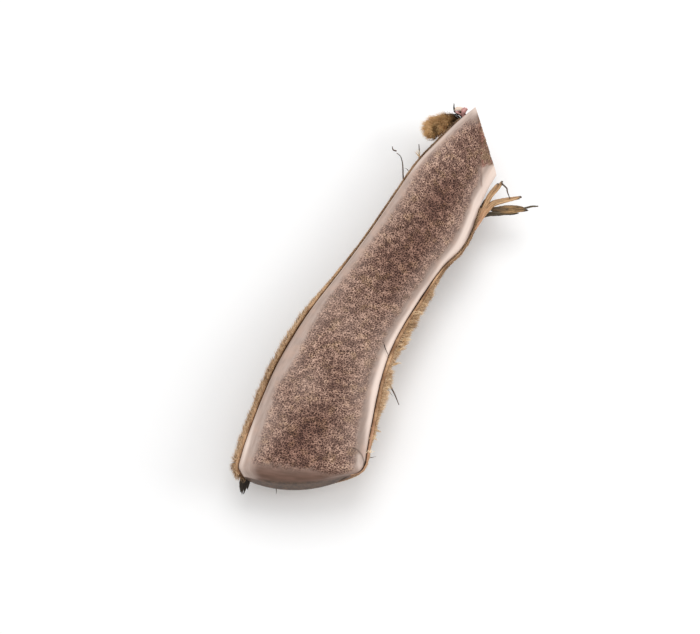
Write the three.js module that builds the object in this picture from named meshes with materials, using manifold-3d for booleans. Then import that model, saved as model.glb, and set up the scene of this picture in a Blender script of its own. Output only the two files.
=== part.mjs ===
// One half of a deer antler in velvet, sawn lengthwise: it lies on its furry back with the sawn face up.
// Millimetres, +Z up. The beam runs along Y, its rounded lower end at -Y and its cross-cut end at +Y.
import * as THREE from "three";
import { mergeVertices } from "three/addons/utils/BufferGeometryUtils.js";
import Module from "manifold-3d";

const wasm = await Module();
wasm.setup();

// ---- Driving dimensions ----

const FACE_HEIGHT = 20.2; // the sawn face above the surface that the antler lies on

// The two edges of the sawn face, from the lower end to the cross-cut end.
const LEFT_EDGE = curve([
  [-7.5, -71], [-10.4, -69.3], [-11.6, -65.2], [-13, -57.5], [-14.8, -43], [-15.9, -26],
  [-14.7, -5], [-11.7, 14], [-8.9, 33], [-6.9, 52], [-5, 69], [-2, 80.5], [1.6, 92.5], [5, 101.2],
]);
const RIGHT_EDGE = curve([
  [25, -54.6], [28.4, -52.4], [29.3, -48.6], [27.7, -42.8], [23.6, -28.4], [20.2, -14],
  [18.8, 0], [19.8, 17], [21.9, 33], [25, 43.2], [25.7, 52], [24.3, 63], [24, 71], [24.3, 78.8],
]);
// How deep the bone goes below the sawn face, at equal steps along the beam.
const BONE_DEPTH = curve([
  [0, 10.5], [0.1, 15.6], [0.2, 17.4], [0.3, 18], [0.4, 18], [0.5, 17.7],
  [0.6, 17], [0.7, 16.2], [0.8, 15], [0.9, 13.6], [1, 12.6],
]);

const NOSE_BULGE = 3; // how far the lower end swells past a straight line between its corners
const NOSE_ROLL = 3.6; // rounding between the sawn face and the lower end
const NOSE_ROLL_SHARE = 0.022; // the same rounding as a share of the beam's length
const NOSE_BULGE_SHARE = 0.12; // the share of the beam that the swelling fades out over
const LEFT_ROLL = 1.4; // rounding of the face's left edge
const RIGHT_ROLL = 2.4; // the right edge is worn rounder
const EDGE_ROLL_DROP = 0.7; // a rounded edge is less deep than it is wide, by this share
const LEFT_RIM = 5; // width of the smooth compact bone on the left
const RIGHT_RIM = 5.2; // and on the right

const PORE_DEPTH = [0.45, 0.95]; // pits in the spongy core
const PORE_SHARE = 0.42; // how many of the core's points are pits

// The saw left a second flat at the cross-cut end: it starts at this line across the face and slopes down.
const FACET_LINE = [[5.4, 101.6], [18.2, 76.5]];
const FACET_SLOPE = 0.28;

const SKIN_GAP = 0.4; // the dried skin has shrunk off the bone by this much
const SKIN_THICKNESS = 2.3; // hide and fur together, to the hair tips
const SKIN_EDGE_DROP = 0.9; // the skin's cut edge lies this far below the sawn face
const EDGE_LEAN = 0.3; // the cut edge leans in by this share of the fur's thickness
const ROOM_HEADROOM = 6; // the room cut out for the bone is open this far above the face
const SKIN_START = 0.008; // the skin covers this stretch of the beam, as shares of its length
const SKIN_END_LEFT = 0.955;
const SKIN_END_RIGHT = 0.895;
const TUFT_RELIEF = 0.55; // unevenness of the fur
const WORN_SHARE = 0.5; // the upper edges have lost this share of their fur
const WORN_LEFT = [0.35, 0.6]; // the stretch of the beam over which the wear sets in on the left
const WORN_RIGHT = [0.62, 0.76]; // and on the right
const SHORT_SHARE = 0.55; // the fur is this much shorter at the lower end
const SHORT_UNTIL = 0.12;
const LOCKS = 72; // locks of hair that stand out from the fur
const LOCK_LENGTH = [0.9, 1.7];

const BONE_STATIONS = 60;
const SKIN_STATIONS = 54;
const CORE_COLUMNS = 12; // grid cells across the spongy core
const BACK_SEGMENTS = 12; // facets round the bone's back
const FUR_SEGMENTS = 18; // and round the fur
const SHRED_STATIONS = 9;
const FLAP_SIDES = 10;
const STATION_EASE = 1.25; // above 1 the stations crowd towards the rounded end

// Shreds of skin: a centre line from the root to the tip, and half-widths at equal steps along it.
// Three strips are torn off at the upper right.
const STRIPS = [
  {
    path: [[25.2, 54, 14.8], [25.1, 60, 16], [24.9, 65.5, 16.8], [26.2, 71.9, 17], [28.2, 78, 17.4]],
    widths: [1.3, 1.3, 1.1, 1, 0.6],
    thickness: 0.6,
  },
  {
    path: [[25.4, 54, 14.2], [25.4, 60, 15.4], [25.8, 66, 15.9], [30.8, 70.3, 16.2], [36.9, 75, 16.2]],
    widths: [1.2, 1.3, 1.3, 1, 0.7],
    thickness: 0.6,
  },
  {
    path: [[25.6, 52.5, 13], [25.7, 58, 14], [27, 63, 14.4], [32, 66.5, 14.6], [38, 70.2, 14.8], [44.4, 74.8, 15.2]],
    widths: [1.1, 1, 1.1, 1.9, 1.4, 0.35],
    thickness: 0.9,
  },
];
// A furry flap curls back at the upper left, with a shred of dried flesh above its root.
const FLAP = {
  path: [[1.2, 94, 12.6], [-0.8, 94.6, 14.6], [-3.2, 91.6, 15.6], [-6.4, 87.6, 15.4], [-9.6, 84.9, 14.4]],
  widths: [2, 2.3, 3.3, 4.1, 2.6],
  thickness: 3,
};
const FLESH = {
  path: [[2.5, 94.5, 13.6], [2, 97.4, 16.4], [0.8, 99, 17.6], [-1.2, 98.2, 17.6]],
  widths: [1.3, 1.5, 1.2, 0.6],
  thickness: 1,
};
// A matted lock hangs from the skin under the lower left corner.
const MATTED_LOCK = {
  path: [[-8.6, -66.5, 13.2], [-9.2, -70.4, 11.6], [-7.4, -73.4, 9.6], [-5, -75.2, 7.6]],
  widths: [1.4, 1.5, 1.1, 0.3],
  thickness: 1.1,
};

// ---- Small helpers ----

function curve(points) {
  return new THREE.SplineCurve(points.map(([x, y]) => new THREE.Vector2(x, y)));
}

// Seeded random numbers from 0 to 1, so that every build is the same.
function randomFrom(seed) {
  let state = seed;
  return () => {
    state = (state + 0x6d2b79f5) | 0;
    let mixed = Math.imul(state ^ (state >>> 15), 1 | state);
    mixed = (mixed + Math.imul(mixed ^ (mixed >>> 7), 61 | mixed)) ^ mixed;
    return ((mixed ^ (mixed >>> 14)) >>> 0) / 4294967296;
  };
}

const between = ([low, high], share) => low + (high - low) * share;
const stationShare = (step) => step ** STATION_EASE;

// A closed body through rings that all have the same number of points, with both ends capped. Seen along the
// path, a ring runs clockwise. The outlines give the first and the last ring as flat points for the caps.
function loft(rings, firstOutline, lastOutline) {
  const count = rings[0].length;
  const position = rings.flat().flatMap((p) => [p.x, p.y, p.z]);
  const index = [];
  for (let ring = 0; ring + 1 < rings.length; ring++) {
    for (let i = 0; i < count; i++) {
      const a = ring * count + i;
      const b = ring * count + ((i + 1) % count);
      index.push(a, b, b + count, a, b + count, a + count);
    }
  }
  const last = (rings.length - 1) * count;
  for (const [a, b, c] of THREE.ShapeUtils.triangulateShape(firstOutline, [])) index.push(a, b, c);
  for (const [a, b, c] of THREE.ShapeUtils.triangulateShape(lastOutline, [])) index.push(last + a, last + c, last + b);
  const geometry = new THREE.BufferGeometry();
  geometry.setAttribute("position", new THREE.Float32BufferAttribute(position, 3));
  geometry.setIndex(index);
  return geometry;
}

function solidOf(geometry) {
  const plain = geometry.clone();
  plain.deleteAttribute("normal");
  plain.deleteAttribute("uv");
  const merged = mergeVertices(plain, 1e-4);
  return new wasm.Manifold(
    new wasm.Mesh({
      numProp: 3,
      vertProperties: new Float32Array(merged.attributes.position.array),
      triVerts: new Uint32Array(merged.index.array),
    }),
  );
}

// The main body of a cut solid, without the crumbs that a cut can leave.
function largestOf(solid) {
  return solid.decompose().reduce((a, b) => (a.volume() > b.volume() ? a : b));
}

function geometryOf(solid) {
  const mesh = solid.getMesh();
  const geometry = new THREE.BufferGeometry();
  geometry.setAttribute("position", new THREE.BufferAttribute(new Float32Array(mesh.vertProperties), 3));
  geometry.setIndex(new THREE.BufferAttribute(new Uint32Array(mesh.triVerts), 1));
  geometry.computeVertexNormals();
  return geometry;
}

// ---- The beam's sections ----

// The section at a share of the beam's length: it stands upright on the line between the two edges.
function sectionAt(share) {
  const left = LEFT_EDGE.getPointAt(share);
  const right = RIGHT_EDGE.getPointAt(share);
  const across = right.clone().sub(left);
  const half = across.length() / 2;
  across.normalize();
  const rollShare = Math.min(share / NOSE_ROLL_SHARE, 1);
  return {
    middle: left.add(right).multiplyScalar(0.5),
    across,
    outward: new THREE.Vector2(across.y, -across.x),
    half,
    depth: BONE_DEPTH.getPoint(share).y,
    drop: NOSE_ROLL * (1 - Math.sqrt(1 - (1 - rollShare) ** 2)),
    bulge: NOSE_BULGE * Math.max(0, 1 - share / NOSE_BULGE_SHARE) ** 2,
  };
}

// A point of a section, from its distance across the middle and its height.
function pointIn(section, x, z) {
  const bulge = section.bulge * Math.max(0, 1 - (x / section.half) ** 2);
  return new THREE.Vector3(
    section.middle.x + section.across.x * x + section.outward.x * bulge,
    section.middle.y + section.across.y * x + section.outward.y * bulge,
    z,
  );
}

// Heights at which the rounded back starts, on the left and on the right.
function backTop(section, angle) {
  const left = LEFT_ROLL * EDGE_ROLL_DROP;
  const right = RIGHT_ROLL * EDGE_ROLL_DROP;
  const rightShare = (1 + Math.cos(angle)) / 2;
  return FACE_HEIGHT - section.drop - left - (right - left) * rightShare;
}

// The back of the bone, or a surface at a distance outside it: angle 0 is the right edge, PI the left one.
function backPoint(section, angle, distance) {
  const top = backTop(section, angle);
  const bottom = FACE_HEIGHT - section.depth - distance;
  return {
    x: (section.half + distance) * Math.cos(angle),
    z: top - (top - bottom) * Math.sin(angle),
  };
}

// ---- The bone ----

function facetDrop(point) {
  const [[x0, y0], [x1, y1]] = FACET_LINE;
  const length = Math.hypot(x1 - x0, y1 - y0);
  const past = ((point.x - x0) * (y0 - y1) + (point.y - y0) * (x1 - x0)) / length;
  return Math.max(0, past) * FACET_SLOPE;
}

function boneGeometry() {
  const random = randomFrom(7);
  const rings = [];
  const outlines = [];
  for (let station = 0; station <= BONE_STATIONS; station++) {
    const section = sectionAt(stationShare(station / BONE_STATIONS));
    const { half } = section;
    const face = FACE_HEIGHT - section.drop;
    const coreLeft = -half + LEFT_RIM;
    const coreRight = half - RIGHT_RIM;
    const flat = [];
    flat.push([-half + LEFT_ROLL * 0.3, face - LEFT_ROLL * EDGE_ROLL_DROP * 0.3]);
    flat.push([-half + LEFT_ROLL, face]);
    for (let column = 0; column <= CORE_COLUMNS; column++) {
      const inside = column > 0 && column < CORE_COLUMNS && station > 3;
      const pit = inside && random() < PORE_SHARE ? between(PORE_DEPTH, random()) : 0;
      flat.push([coreLeft + ((coreRight - coreLeft) * column) / CORE_COLUMNS, face - pit]);
    }
    flat.push([half - RIGHT_ROLL, face]);
    flat.push([half - RIGHT_ROLL * 0.3, face - RIGHT_ROLL * EDGE_ROLL_DROP * 0.3]);
    for (let segment = 0; segment <= BACK_SEGMENTS; segment++) {
      const { x, z } = backPoint(section, (Math.PI * segment) / BACK_SEGMENTS, 0);
      flat.push([x, z]);
    }
    rings.push(
      flat.map(([x, z], i) => {
        const point = pointIn(section, x, z);
        const onFace = i < CORE_COLUMNS + 5;
        point.z -= onFace ? facetDrop(point) : 0;
        return point;
      }),
    );
    outlines.push(flat.map(([x], i) => new THREE.Vector2(x, rings.at(-1)[i].z)));
  }
  return loft(rings, outlines[0], outlines.at(-1));
}

// ---- The velvet skin ----

// The room that the bone takes, with the gap round it: it is cut out of the fur, and it is open to the top.
function boneRoomGeometry() {
  const rings = [];
  const outlines = [];
  for (let station = 0; station <= BONE_STATIONS; station++) {
    const section = sectionAt(stationShare(station / BONE_STATIONS));
    const top = FACE_HEIGHT + ROOM_HEADROOM;
    const half = section.half + SKIN_GAP;
    const flat = [[-half, top], [half, top]];
    for (let segment = 0; segment <= BACK_SEGMENTS; segment++) {
      const { x, z } = backPoint(section, (Math.PI * segment) / BACK_SEGMENTS, SKIN_GAP);
      flat.push([x, z]);
    }
    rings.push(flat.map(([x, z]) => pointIn(section, x, z)));
    outlines.push(flat.map(([x, z]) => new THREE.Vector2(x, z)));
  }
  return loft(rings, outlines[0], outlines.at(-1));
}

// Fur lies in a smooth uneven swell. It is worn thin along both upper edges, and short where the skin starts.
function furThickness(random, angle, along) {
  const { smoothstep } = THREE.MathUtils;
  const swell = Math.sin(angle * 5 + along * 31) * Math.sin(angle * 3 - along * 47 + 1.3);
  const left = smoothstep(along, ...WORN_LEFT) * Math.max(0, -Math.cos(angle)) ** 3;
  const right = smoothstep(along, ...WORN_RIGHT) * Math.max(0, Math.cos(angle));
  const worn = 1 - WORN_SHARE * (left + right);
  const start = 1 - SHORT_SHARE * (1 - smoothstep(along, 0, SHORT_UNTIL));
  return (SKIN_THICKNESS + TUFT_RELIEF * (0.45 * swell + 0.8 * (random() - 0.5))) * worn * start;
}

// The outside of the fur, filled: the bone's room is cut out of it later.
function furGeometry() {
  const random = randomFrom(19);
  const locks = new Map();
  while (locks.size < LOCKS) {
    const station = 2 + Math.floor(random() * (SKIN_STATIONS - 3));
    const segment = Math.floor(random() * (FUR_SEGMENTS + 1));
    const onSide = Math.abs(segment - FUR_SEGMENTS / 2) > 2;
    if (onSide) locks.set(`${station},${segment}`, between(LOCK_LENGTH, random()));
  }
  const rings = [];
  const outlines = [];
  for (let station = 0; station <= SKIN_STATIONS; station++) {
    const along = stationShare(station / SKIN_STATIONS);
    const ring = [];
    for (let segment = 0; segment <= FUR_SEGMENTS; segment++) {
      const angle = (Math.PI * segment) / FUR_SEGMENTS;
      const leftShare = (1 - Math.cos(angle)) / 2;
      const end = SKIN_END_RIGHT + (SKIN_END_LEFT - SKIN_END_RIGHT) * leftShare;
      const section = sectionAt(SKIN_START + (end - SKIN_START) * along);
      const fur = furThickness(random, angle, along) + (locks.get(`${station},${segment}`) ?? 0);
      const { x, z } = backPoint(section, angle, SKIN_GAP + fur);
      const edge = FACE_HEIGHT - section.drop - SKIN_EDGE_DROP;
      if (segment === 0) ring.push([section, x - fur * EDGE_LEAN, edge]);
      ring.push([section, x, Math.max(0, Math.min(z, edge - 0.3))]);
      if (segment === FUR_SEGMENTS) ring.unshift([section, x + fur * EDGE_LEAN, edge]);
    }
    rings.push(ring.map(([section, x, z]) => pointIn(section, x, z)));
    outlines.push(ring.map(([, x, z]) => new THREE.Vector2(x, z)));
  }
  return loft(rings, outlines[0], outlines.at(-1));
}

// A shred along its centre line, with an oval section.
function shredGeometry({ path, widths, thickness }, sides = 8) {
  const line = new THREE.CatmullRomCurve3(path.map((p) => new THREE.Vector3(...p)));
  const width = curve(widths.map((half, i) => [i, half]));
  const up = new THREE.Vector3(0, 0, 1);
  const rings = [];
  const outlines = [];
  for (let station = 0; station <= SHRED_STATIONS; station++) {
    const share = station / SHRED_STATIONS;
    const half = width.getPoint(share).y;
    const deep = (thickness * half) / Math.max(...widths);
    const tangent = line.getTangentAt(share);
    const side = new THREE.Vector3().crossVectors(tangent, up).normalize();
    const over = new THREE.Vector3().crossVectors(side, tangent);
    const outline = [];
    for (let i = 0; i < sides; i++) {
      const angle = (-2 * Math.PI * i) / sides;
      outline.push(new THREE.Vector2(Math.cos(angle) * half, Math.sin(angle) * deep));
    }
    const middle = line.getPointAt(share);
    rings.push(outline.map((p) => middle.clone().addScaledVector(side, p.x).addScaledVector(over, p.y)));
    outlines.push(outline);
  }
  return loft(rings, outlines[0], outlines.at(-1));
}

// ---- The two pieces ----

const bone = solidOf(boneGeometry());
let skin = solidOf(furGeometry());
for (const shred of [...STRIPS, FLESH, MATTED_LOCK]) skin = skin.add(solidOf(shredGeometry(shred)));
skin = skin.add(solidOf(shredGeometry(FLAP, FLAP_SIDES)));
skin = largestOf(skin.subtract(solidOf(boneRoomGeometry())));

const antler = new THREE.Group();
const materials = {
  antler_bone: new THREE.MeshStandardMaterial({ color: 0x9b7f74, roughness: 0.7, metalness: 0 }),
  velvet_skin: new THREE.MeshStandardMaterial({ color: 0x80623f, roughness: 0.95, metalness: 0 }),
};
for (const [name, solid] of Object.entries({ antler_bone: bone, velvet_skin: skin })) {
  const mesh = new THREE.Mesh(geometryOf(solid), materials[name]);
  mesh.name = name;
  antler.add(mesh);
}

// The origin is under the middle of the whole antler, on the surface that it lies on.
const box = new THREE.Box3().setFromObject(antler);
const centre = box.getCenter(new THREE.Vector3());
for (const mesh of antler.children) mesh.position.set(-centre.x, -centre.y, -box.min.z);

export default antler;
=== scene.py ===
import math

import bpy
import numpy as np
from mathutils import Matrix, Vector


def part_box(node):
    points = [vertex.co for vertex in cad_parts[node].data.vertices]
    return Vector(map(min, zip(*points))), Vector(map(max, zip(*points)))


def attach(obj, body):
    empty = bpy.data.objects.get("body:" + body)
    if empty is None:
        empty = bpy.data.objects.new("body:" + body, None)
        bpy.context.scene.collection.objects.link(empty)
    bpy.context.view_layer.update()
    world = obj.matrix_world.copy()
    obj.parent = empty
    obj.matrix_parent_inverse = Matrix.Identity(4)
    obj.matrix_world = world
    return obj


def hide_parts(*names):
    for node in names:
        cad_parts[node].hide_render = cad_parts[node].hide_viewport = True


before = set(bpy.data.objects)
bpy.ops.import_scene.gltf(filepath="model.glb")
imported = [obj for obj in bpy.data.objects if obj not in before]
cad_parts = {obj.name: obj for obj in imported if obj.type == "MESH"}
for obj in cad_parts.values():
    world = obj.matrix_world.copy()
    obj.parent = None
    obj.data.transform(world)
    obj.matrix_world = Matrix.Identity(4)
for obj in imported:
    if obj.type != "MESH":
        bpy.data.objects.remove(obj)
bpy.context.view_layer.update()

MM = 0.001

# ---- The beam's form ----

FACE_HEIGHT = 20.2
LEFT_EDGE = [
    (-7.5, -71), (-10.4, -69.3), (-11.6, -65.2), (-13, -57.5), (-14.8, -43), (-15.9, -26),
    (-14.7, -5), (-11.7, 14), (-8.9, 33), (-6.9, 52), (-5, 69), (-2, 80.5), (1.6, 92.5), (5, 101.2),
]
TIP = LEFT_EDGE[-1]
RIGHT_EDGE = [
    (25, -54.6), (28.4, -52.4), (29.3, -48.6), (27.7, -42.8), (23.6, -28.4), (20.2, -14),
    (18.8, 0), (19.8, 17), (21.9, 33), (25, 43.2), (25.7, 52), (24.3, 63), (24, 71), (24.3, 78.8),
]
BONE_DEPTH = [
    (0, 10.5), (0.1, 15.6), (0.2, 17.4), (0.3, 18), (0.4, 18), (0.5, 17.7),
    (0.6, 17), (0.7, 16.2), (0.8, 15), (0.9, 13.6), (1, 12.6),
]
NOSE_BULGE, NOSE_BULGE_SHARE = 3, 0.12
NOSE_ROLL, NOSE_ROLL_SHARE = 3.6, 0.022
LEFT_ROLL, RIGHT_ROLL = 1.4, 2.4
EDGE_ROLL_DROP = 0.7
FACET_LINE = [(5.4, 101.6), (18.2, 76.5)]
FACET_SLOPE = 0.28
LOBE_LINE = [(28.9, -51.1), (27.4, -49.2), (26.4, -46.8)]
CRACK_LINE = [(22.6, -45.1), (24.2, -44.9), (25.2, -45.1), (27.2, -46.0), (28.8, -47.6), (29.3, -49)]
BEAM_LENGTH = 172

SKIN_GAP = 0.4
SKIN_START, SKIN_END_LEFT, SKIN_END_RIGHT = 0.008, 0.955, 0.895

# Where the antler's plan lies in the shared frame: its upper corner and its widest point are known.
PLAN_TOP, PLAN_RIGHT, PLAN_LEFT = 101.2, 29.3, -15.93
bone_low, bone_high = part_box("antler_bone")
SHIFT = np.array([
    (bone_high.x + bone_low.x) / 2 / MM - (PLAN_RIGHT + PLAN_LEFT) / 2,
    bone_high.y / MM - PLAN_TOP,
    0,
])
RIPPLE_CELLS = 97
UNROLLED = (100.0, 210.0, 0.0)  # the width and length in millimetres that the bone's UV map covers
TURNED = [0, 3, 2, 1]  # the corners of a face the other way round
TINY = 1e-9


def spline(points, count=4000):
    """Points of a smooth line through the given ones, at equal steps of its parameter."""
    points = np.array(points, float)
    last = len(points) - 1
    at = np.linspace(0, last, count)
    start = np.minimum(at.astype(int), last - 1)
    t = (at - start)[:, None]
    p0, p1, p2, p3 = (points[np.clip(start + step, 0, last)] for step in (-1, 0, 1, 2))
    v0, v1 = (p2 - p0) / 2, (p3 - p1) / 2
    return (2 * p1 - 2 * p2 + v0 + v1) * t**3 + (3 * p2 - 3 * p1 - 2 * v0 - v1) * t**2 + v0 * t + p1


def by_length(line, shares):
    """Points of a line at shares of its length."""
    steps = np.linalg.norm(np.diff(line, axis=0), axis=1)
    reach = np.concatenate([[0], np.cumsum(steps)])
    return np.stack([np.interp(shares * reach[-1], reach, column) for column in line.T], axis=-1)


LEFT_LINE, RIGHT_LINE, DEPTH_LINE = spline(LEFT_EDGE), spline(RIGHT_EDGE), spline(BONE_DEPTH)


def smooth(low, high, value):
    """0 at the low level, 1 at the high one and a smooth step between them."""
    share = np.clip((value - low) / (high - low), 0, 1)
    return share * share * (3 - 2 * share)


def ripple(a, b, size, seed):
    """Soft seeded noise from -1 to 1 over two coordinates."""
    grid = np.random.default_rng(seed).uniform(-1, 1, (RIPPLE_CELLS, RIPPLE_CELLS))
    u, v = a / size, b / size
    i, j = np.floor(u).astype(int), np.floor(v).astype(int)
    fu, fv = smooth(0, 1, u - i), smooth(0, 1, v - j)

    def mixed(step):
        row = (j + step) % RIPPLE_CELLS
        return grid[i % RIPPLE_CELLS, row] * (1 - fu) + grid[(i + 1) % RIPPLE_CELLS, row] * fu

    return mixed(0) * (1 - fv) + mixed(1) * fv


def sections(shares):
    """The upright sections of the beam at shares of its length."""
    left, right = by_length(LEFT_LINE, shares), by_length(RIGHT_LINE, shares)
    across = right - left
    width = np.linalg.norm(across, axis=-1)
    across /= width[..., None]
    rolled = 1 - np.minimum(shares / NOSE_ROLL_SHARE, 1)
    return {
        "middle": (left + right) / 2,
        "across": across,
        "outward": np.stack([across[..., 1], -across[..., 0]], -1),
        "half": width / 2,
        "depth": np.interp(shares, np.linspace(0, 1, len(DEPTH_LINE)), DEPTH_LINE[:, 1]),
        "drop": NOSE_ROLL * (1 - np.sqrt(1 - rolled**2)),
        "bulge": NOSE_BULGE * np.maximum(0, 1 - shares / NOSE_BULGE_SHARE) ** 2,
    }


def points_in(section, x, z):
    """Plan points of a section, from the distance across its middle and the height."""
    bulge = section["bulge"] * np.maximum(0, 1 - (x / section["half"]) ** 2)
    plan = section["middle"] + section["across"] * x[..., None] + section["outward"] * bulge[..., None]
    return np.concatenate([plan, z[..., None]], -1)


def back_points(section, angle, distance):
    """The bone's back, or a surface outside it: angle 0 is the right edge and pi the left one."""
    right_share = (1 + np.cos(angle)) / 2
    roll = LEFT_ROLL + (RIGHT_ROLL - LEFT_ROLL) * right_share
    top = FACE_HEIGHT - section["drop"] - roll * EDGE_ROLL_DROP
    bottom = FACE_HEIGHT - section["depth"] - distance
    return (section["half"] + distance) * np.cos(angle), top - (top - bottom) * np.sin(angle)


def grid_faces(rows, count, closed=True):
    """Four-cornered faces between rows of points; closed joins the last column to the first."""
    row, column = np.mgrid[0 : rows - 1, 0 : count if closed else count - 1]
    point, beside = row * count + column, row * count + (column + 1) % count
    return np.stack([point, beside, beside + count, point + count], -1).reshape(-1, 4)


def grid_corners(chart):
    """Places on the UV map for the corners of those faces, from the places of the grid's points."""
    corners = np.stack([chart[:-1, :-1], chart[:-1, 1:], chart[1:, 1:], chart[1:, :-1]], 2)
    return corners.reshape(-1, 4, 2)


def mesh_object(name, points, faces, uv=None, masks=None):
    """A piece from plan points in millimetres, with UV places for face corners and masks for points."""
    mesh = bpy.data.meshes.new(name)
    mesh.from_pydata(((np.asarray(points) + SHIFT) * MM).tolist(), [], faces)
    if uv is not None:
        layer = mesh.uv_layers.new(name="OFBake")
        layer.data.foreach_set("uv", np.asarray(uv, np.float32).ravel())
    for mask, values in (masks or {}).items():
        kind, field = ("FLOAT_VECTOR", "vector") if np.ndim(values) == 2 else ("FLOAT", "value")
        mark = mesh.attributes.new(mask, kind, "POINT")
        mark.data.foreach_set(field, np.asarray(values, np.float32).ravel())
    mesh.validate()
    mesh.shade_smooth()
    piece = bpy.data.objects.new(name, mesh)
    bpy.context.scene.collection.objects.link(piece)
    return piece


def finish_piece(piece, node, material=None):
    """The piece moves with the antler, takes its finish from a slot and stands for a CAD node."""
    if material:
        piece.data.materials.append(material)
    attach(piece, "root")
    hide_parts(node)


# ---- Node trees ----

MIX_SHARE, MIX_FIRST, MIX_SECOND, MIX_RESULT = 0, 6, 7, 2  # a Mix node's sockets for colours
LEVEL, THREE_LEVELS = 0, 1  # a noise node's outputs


def put(tree, kind, inputs=None, **settings):
    """A node in a tree; an input that is given a socket is linked, any other takes the value."""
    node = tree.nodes.new(kind)
    for key, value in settings.items():
        setattr(node, key, value)
    for key, value in (inputs or {}).items():
        if isinstance(value, bpy.types.NodeSocket):
            tree.links.new(value, node.inputs[key])
        else:
            node.inputs[key].default_value = value
    return node


def maths(tree, operation, first, *others):
    """Values combined one after another by a maths operation."""
    for other in others:
        first = put(tree, "ShaderNodeMath", {0: first, 1: other}, operation=operation).outputs[0]
    return first


def product(tree, first, *others):
    """Values multiplied one after another."""
    return maths(tree, "MULTIPLY", first, *others)


def vector_maths(tree, operation, first, *others):
    """Vectors combined one after another by a vector operation; SCALE takes plain values."""
    second = "Scale" if operation == "SCALE" else 1
    for other in others:
        first = put(tree, "ShaderNodeVectorMath", {0: first, second: other}, operation=operation).outputs[0]
    return first


def ramp(tree, value, low, high, start=0.0, end=1.0):
    """A smooth step of a value from one level to another."""
    inputs = {"Value": value, "From Min": low, "From Max": high, "To Min": start, "To Max": end}
    return put(tree, "ShaderNodeMapRange", inputs, interpolation_type="SMOOTHSTEP").outputs[0]


def noise(tree, vector, scale, detail=3.0, rough=0.55, output=LEVEL):
    """Soft noise over a vector."""
    inputs = {"Vector": vector, "Scale": scale, "Detail": detail, "Roughness": rough}
    return put(tree, "ShaderNodeTexNoise", inputs).outputs[output]


def blend(tree, share, first, second, kind="MIX"):
    """The second colour laid over the first by a share."""
    inputs = {MIX_SHARE: share, MIX_FIRST: first, MIX_SECOND: second}
    return put(tree, "ShaderNodeMix", inputs, data_type="RGBA", blend_type=kind).outputs[MIX_RESULT]


def painted(tree, colour, *layers):
    """A colour with others laid over it one after another, each by its own share."""
    for share, paint in layers:
        colour = blend(tree, share, colour, paint)
    return colour


def rgb(red, green, blue):
    """A colour as the eye sees it, 0 to 255, as the light it reflects."""
    def light(level):
        level /= 255
        return level / 12.92 if level <= 0.04045 else ((level + 0.055) / 1.055) ** 2.4
    return (light(red), light(green), light(blue), 1)


def group_tree(name, kind, inputs, outputs):
    """An empty node group with named inputs and outputs."""
    tree = bpy.data.node_groups.new(name, kind)
    for socket, socket_type, default in inputs:
        made = tree.interface.new_socket(socket, in_out="INPUT", socket_type=socket_type)
        if default is not None:
            made.default_value = default
    for socket, socket_type in outputs:
        tree.interface.new_socket(socket, in_out="OUTPUT", socket_type=socket_type)
    return tree, tree.nodes.new("NodeGroupInput").outputs, tree.nodes.new("NodeGroupOutput").inputs


def new_material(name, roughness, specular):
    """A plain material with its node tree and its shader."""
    material = bpy.data.materials.new(name)
    material.use_nodes = True
    tree = material.node_tree
    shader = tree.nodes["Principled BSDF"]
    shader.inputs["Roughness"].default_value = roughness
    shader.inputs["Specular IOR Level"].default_value = specular
    return material, tree, shader


def attribute(tree, name):
    """One of the piece's masks in a material."""
    return put(tree, "ShaderNodeAttribute", attribute_name=name).outputs["Fac"]


def named(tree, name, kind="FLOAT"):
    """One of the mesh's attributes in a geometry tree."""
    return put(tree, "GeometryNodeInputNamedAttribute", {"Name": name}, data_type=kind).outputs[0]


def bump(tree, height, strength, distance):
    """A bumpy surface, its relief given in millimetres."""
    inputs = {"Strength": strength, "Distance": distance * MM, "Height": height}
    return put(tree, "ShaderNodeBump", inputs).outputs[0]


def object_place(tree):
    """A place on the piece in metres."""
    return put(tree, "ShaderNodeTexCoord").outputs["Object"]


def chart_place(tree):
    """A place on the piece's UV map."""
    return put(tree, "ShaderNodeUVMap", uv_map="OFBake").outputs[0]


# ---- Patterns that more than one node tree uses ----

PORE_SCALE, PORE_BEND = 1.12, (2.0, 2.0, 0)
PORE_EDGE, PORE_FLOOR, WALL_EDGE = 0.13, 0.0, 0.27
OPEN_SHARE = 0.5


def sponge_pattern(tree, plan):
    """Pores and walls of spongy bone over a plan in millimetres; the same nodes pit and colour it."""
    bent = vector_maths(tree, "ADD", noise(tree, plan, 0.8, 1.0, output=THREE_LEVELS), (-0.5, -0.5, 0))
    bent = vector_maths(tree, "ADD", vector_maths(tree, "MULTIPLY", bent, PORE_BEND), plan)
    cells = put(tree, "ShaderNodeTexVoronoi", {"Vector": bent, "Scale": PORE_SCALE, "Randomness": 1.0},
                feature="DISTANCE_TO_EDGE", voronoi_dimensions="2D").outputs["Distance"]
    openness = maths(tree, "SUBTRACT", noise(tree, plan, 0.3, 2.0), 0.5)
    level = maths(tree, "ADD", cells, product(tree, openness, OPEN_SHARE))
    return ramp(tree, level, PORE_EDGE, WALL_EDGE), ramp(tree, level, PORE_EDGE, PORE_FLOOR)


def mottle_group():
    """Soft blotches and fine grain over a surface."""
    tree, given, made = group_tree(
        "mottle", "ShaderNodeTree",
        [("Vector", "NodeSocketVector", None), ("Blotch Scale", "NodeSocketFloat", 100.0),
         ("Grain Scale", "NodeSocketFloat", 900.0)],
        [("Blotch", "NodeSocketFloat"), ("Grain", "NodeSocketFloat")],
    )
    blotch = noise(tree, given["Vector"], given["Blotch Scale"], 3.0)
    grain = noise(tree, given["Vector"], given["Grain Scale"], 4.0, 0.7)
    tree.links.new(ramp(tree, blotch, 0.3, 0.7), made["Blotch"])
    tree.links.new(ramp(tree, grain, 0.25, 0.75), made["Grain"])
    return tree


MOTTLE = mottle_group()


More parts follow.
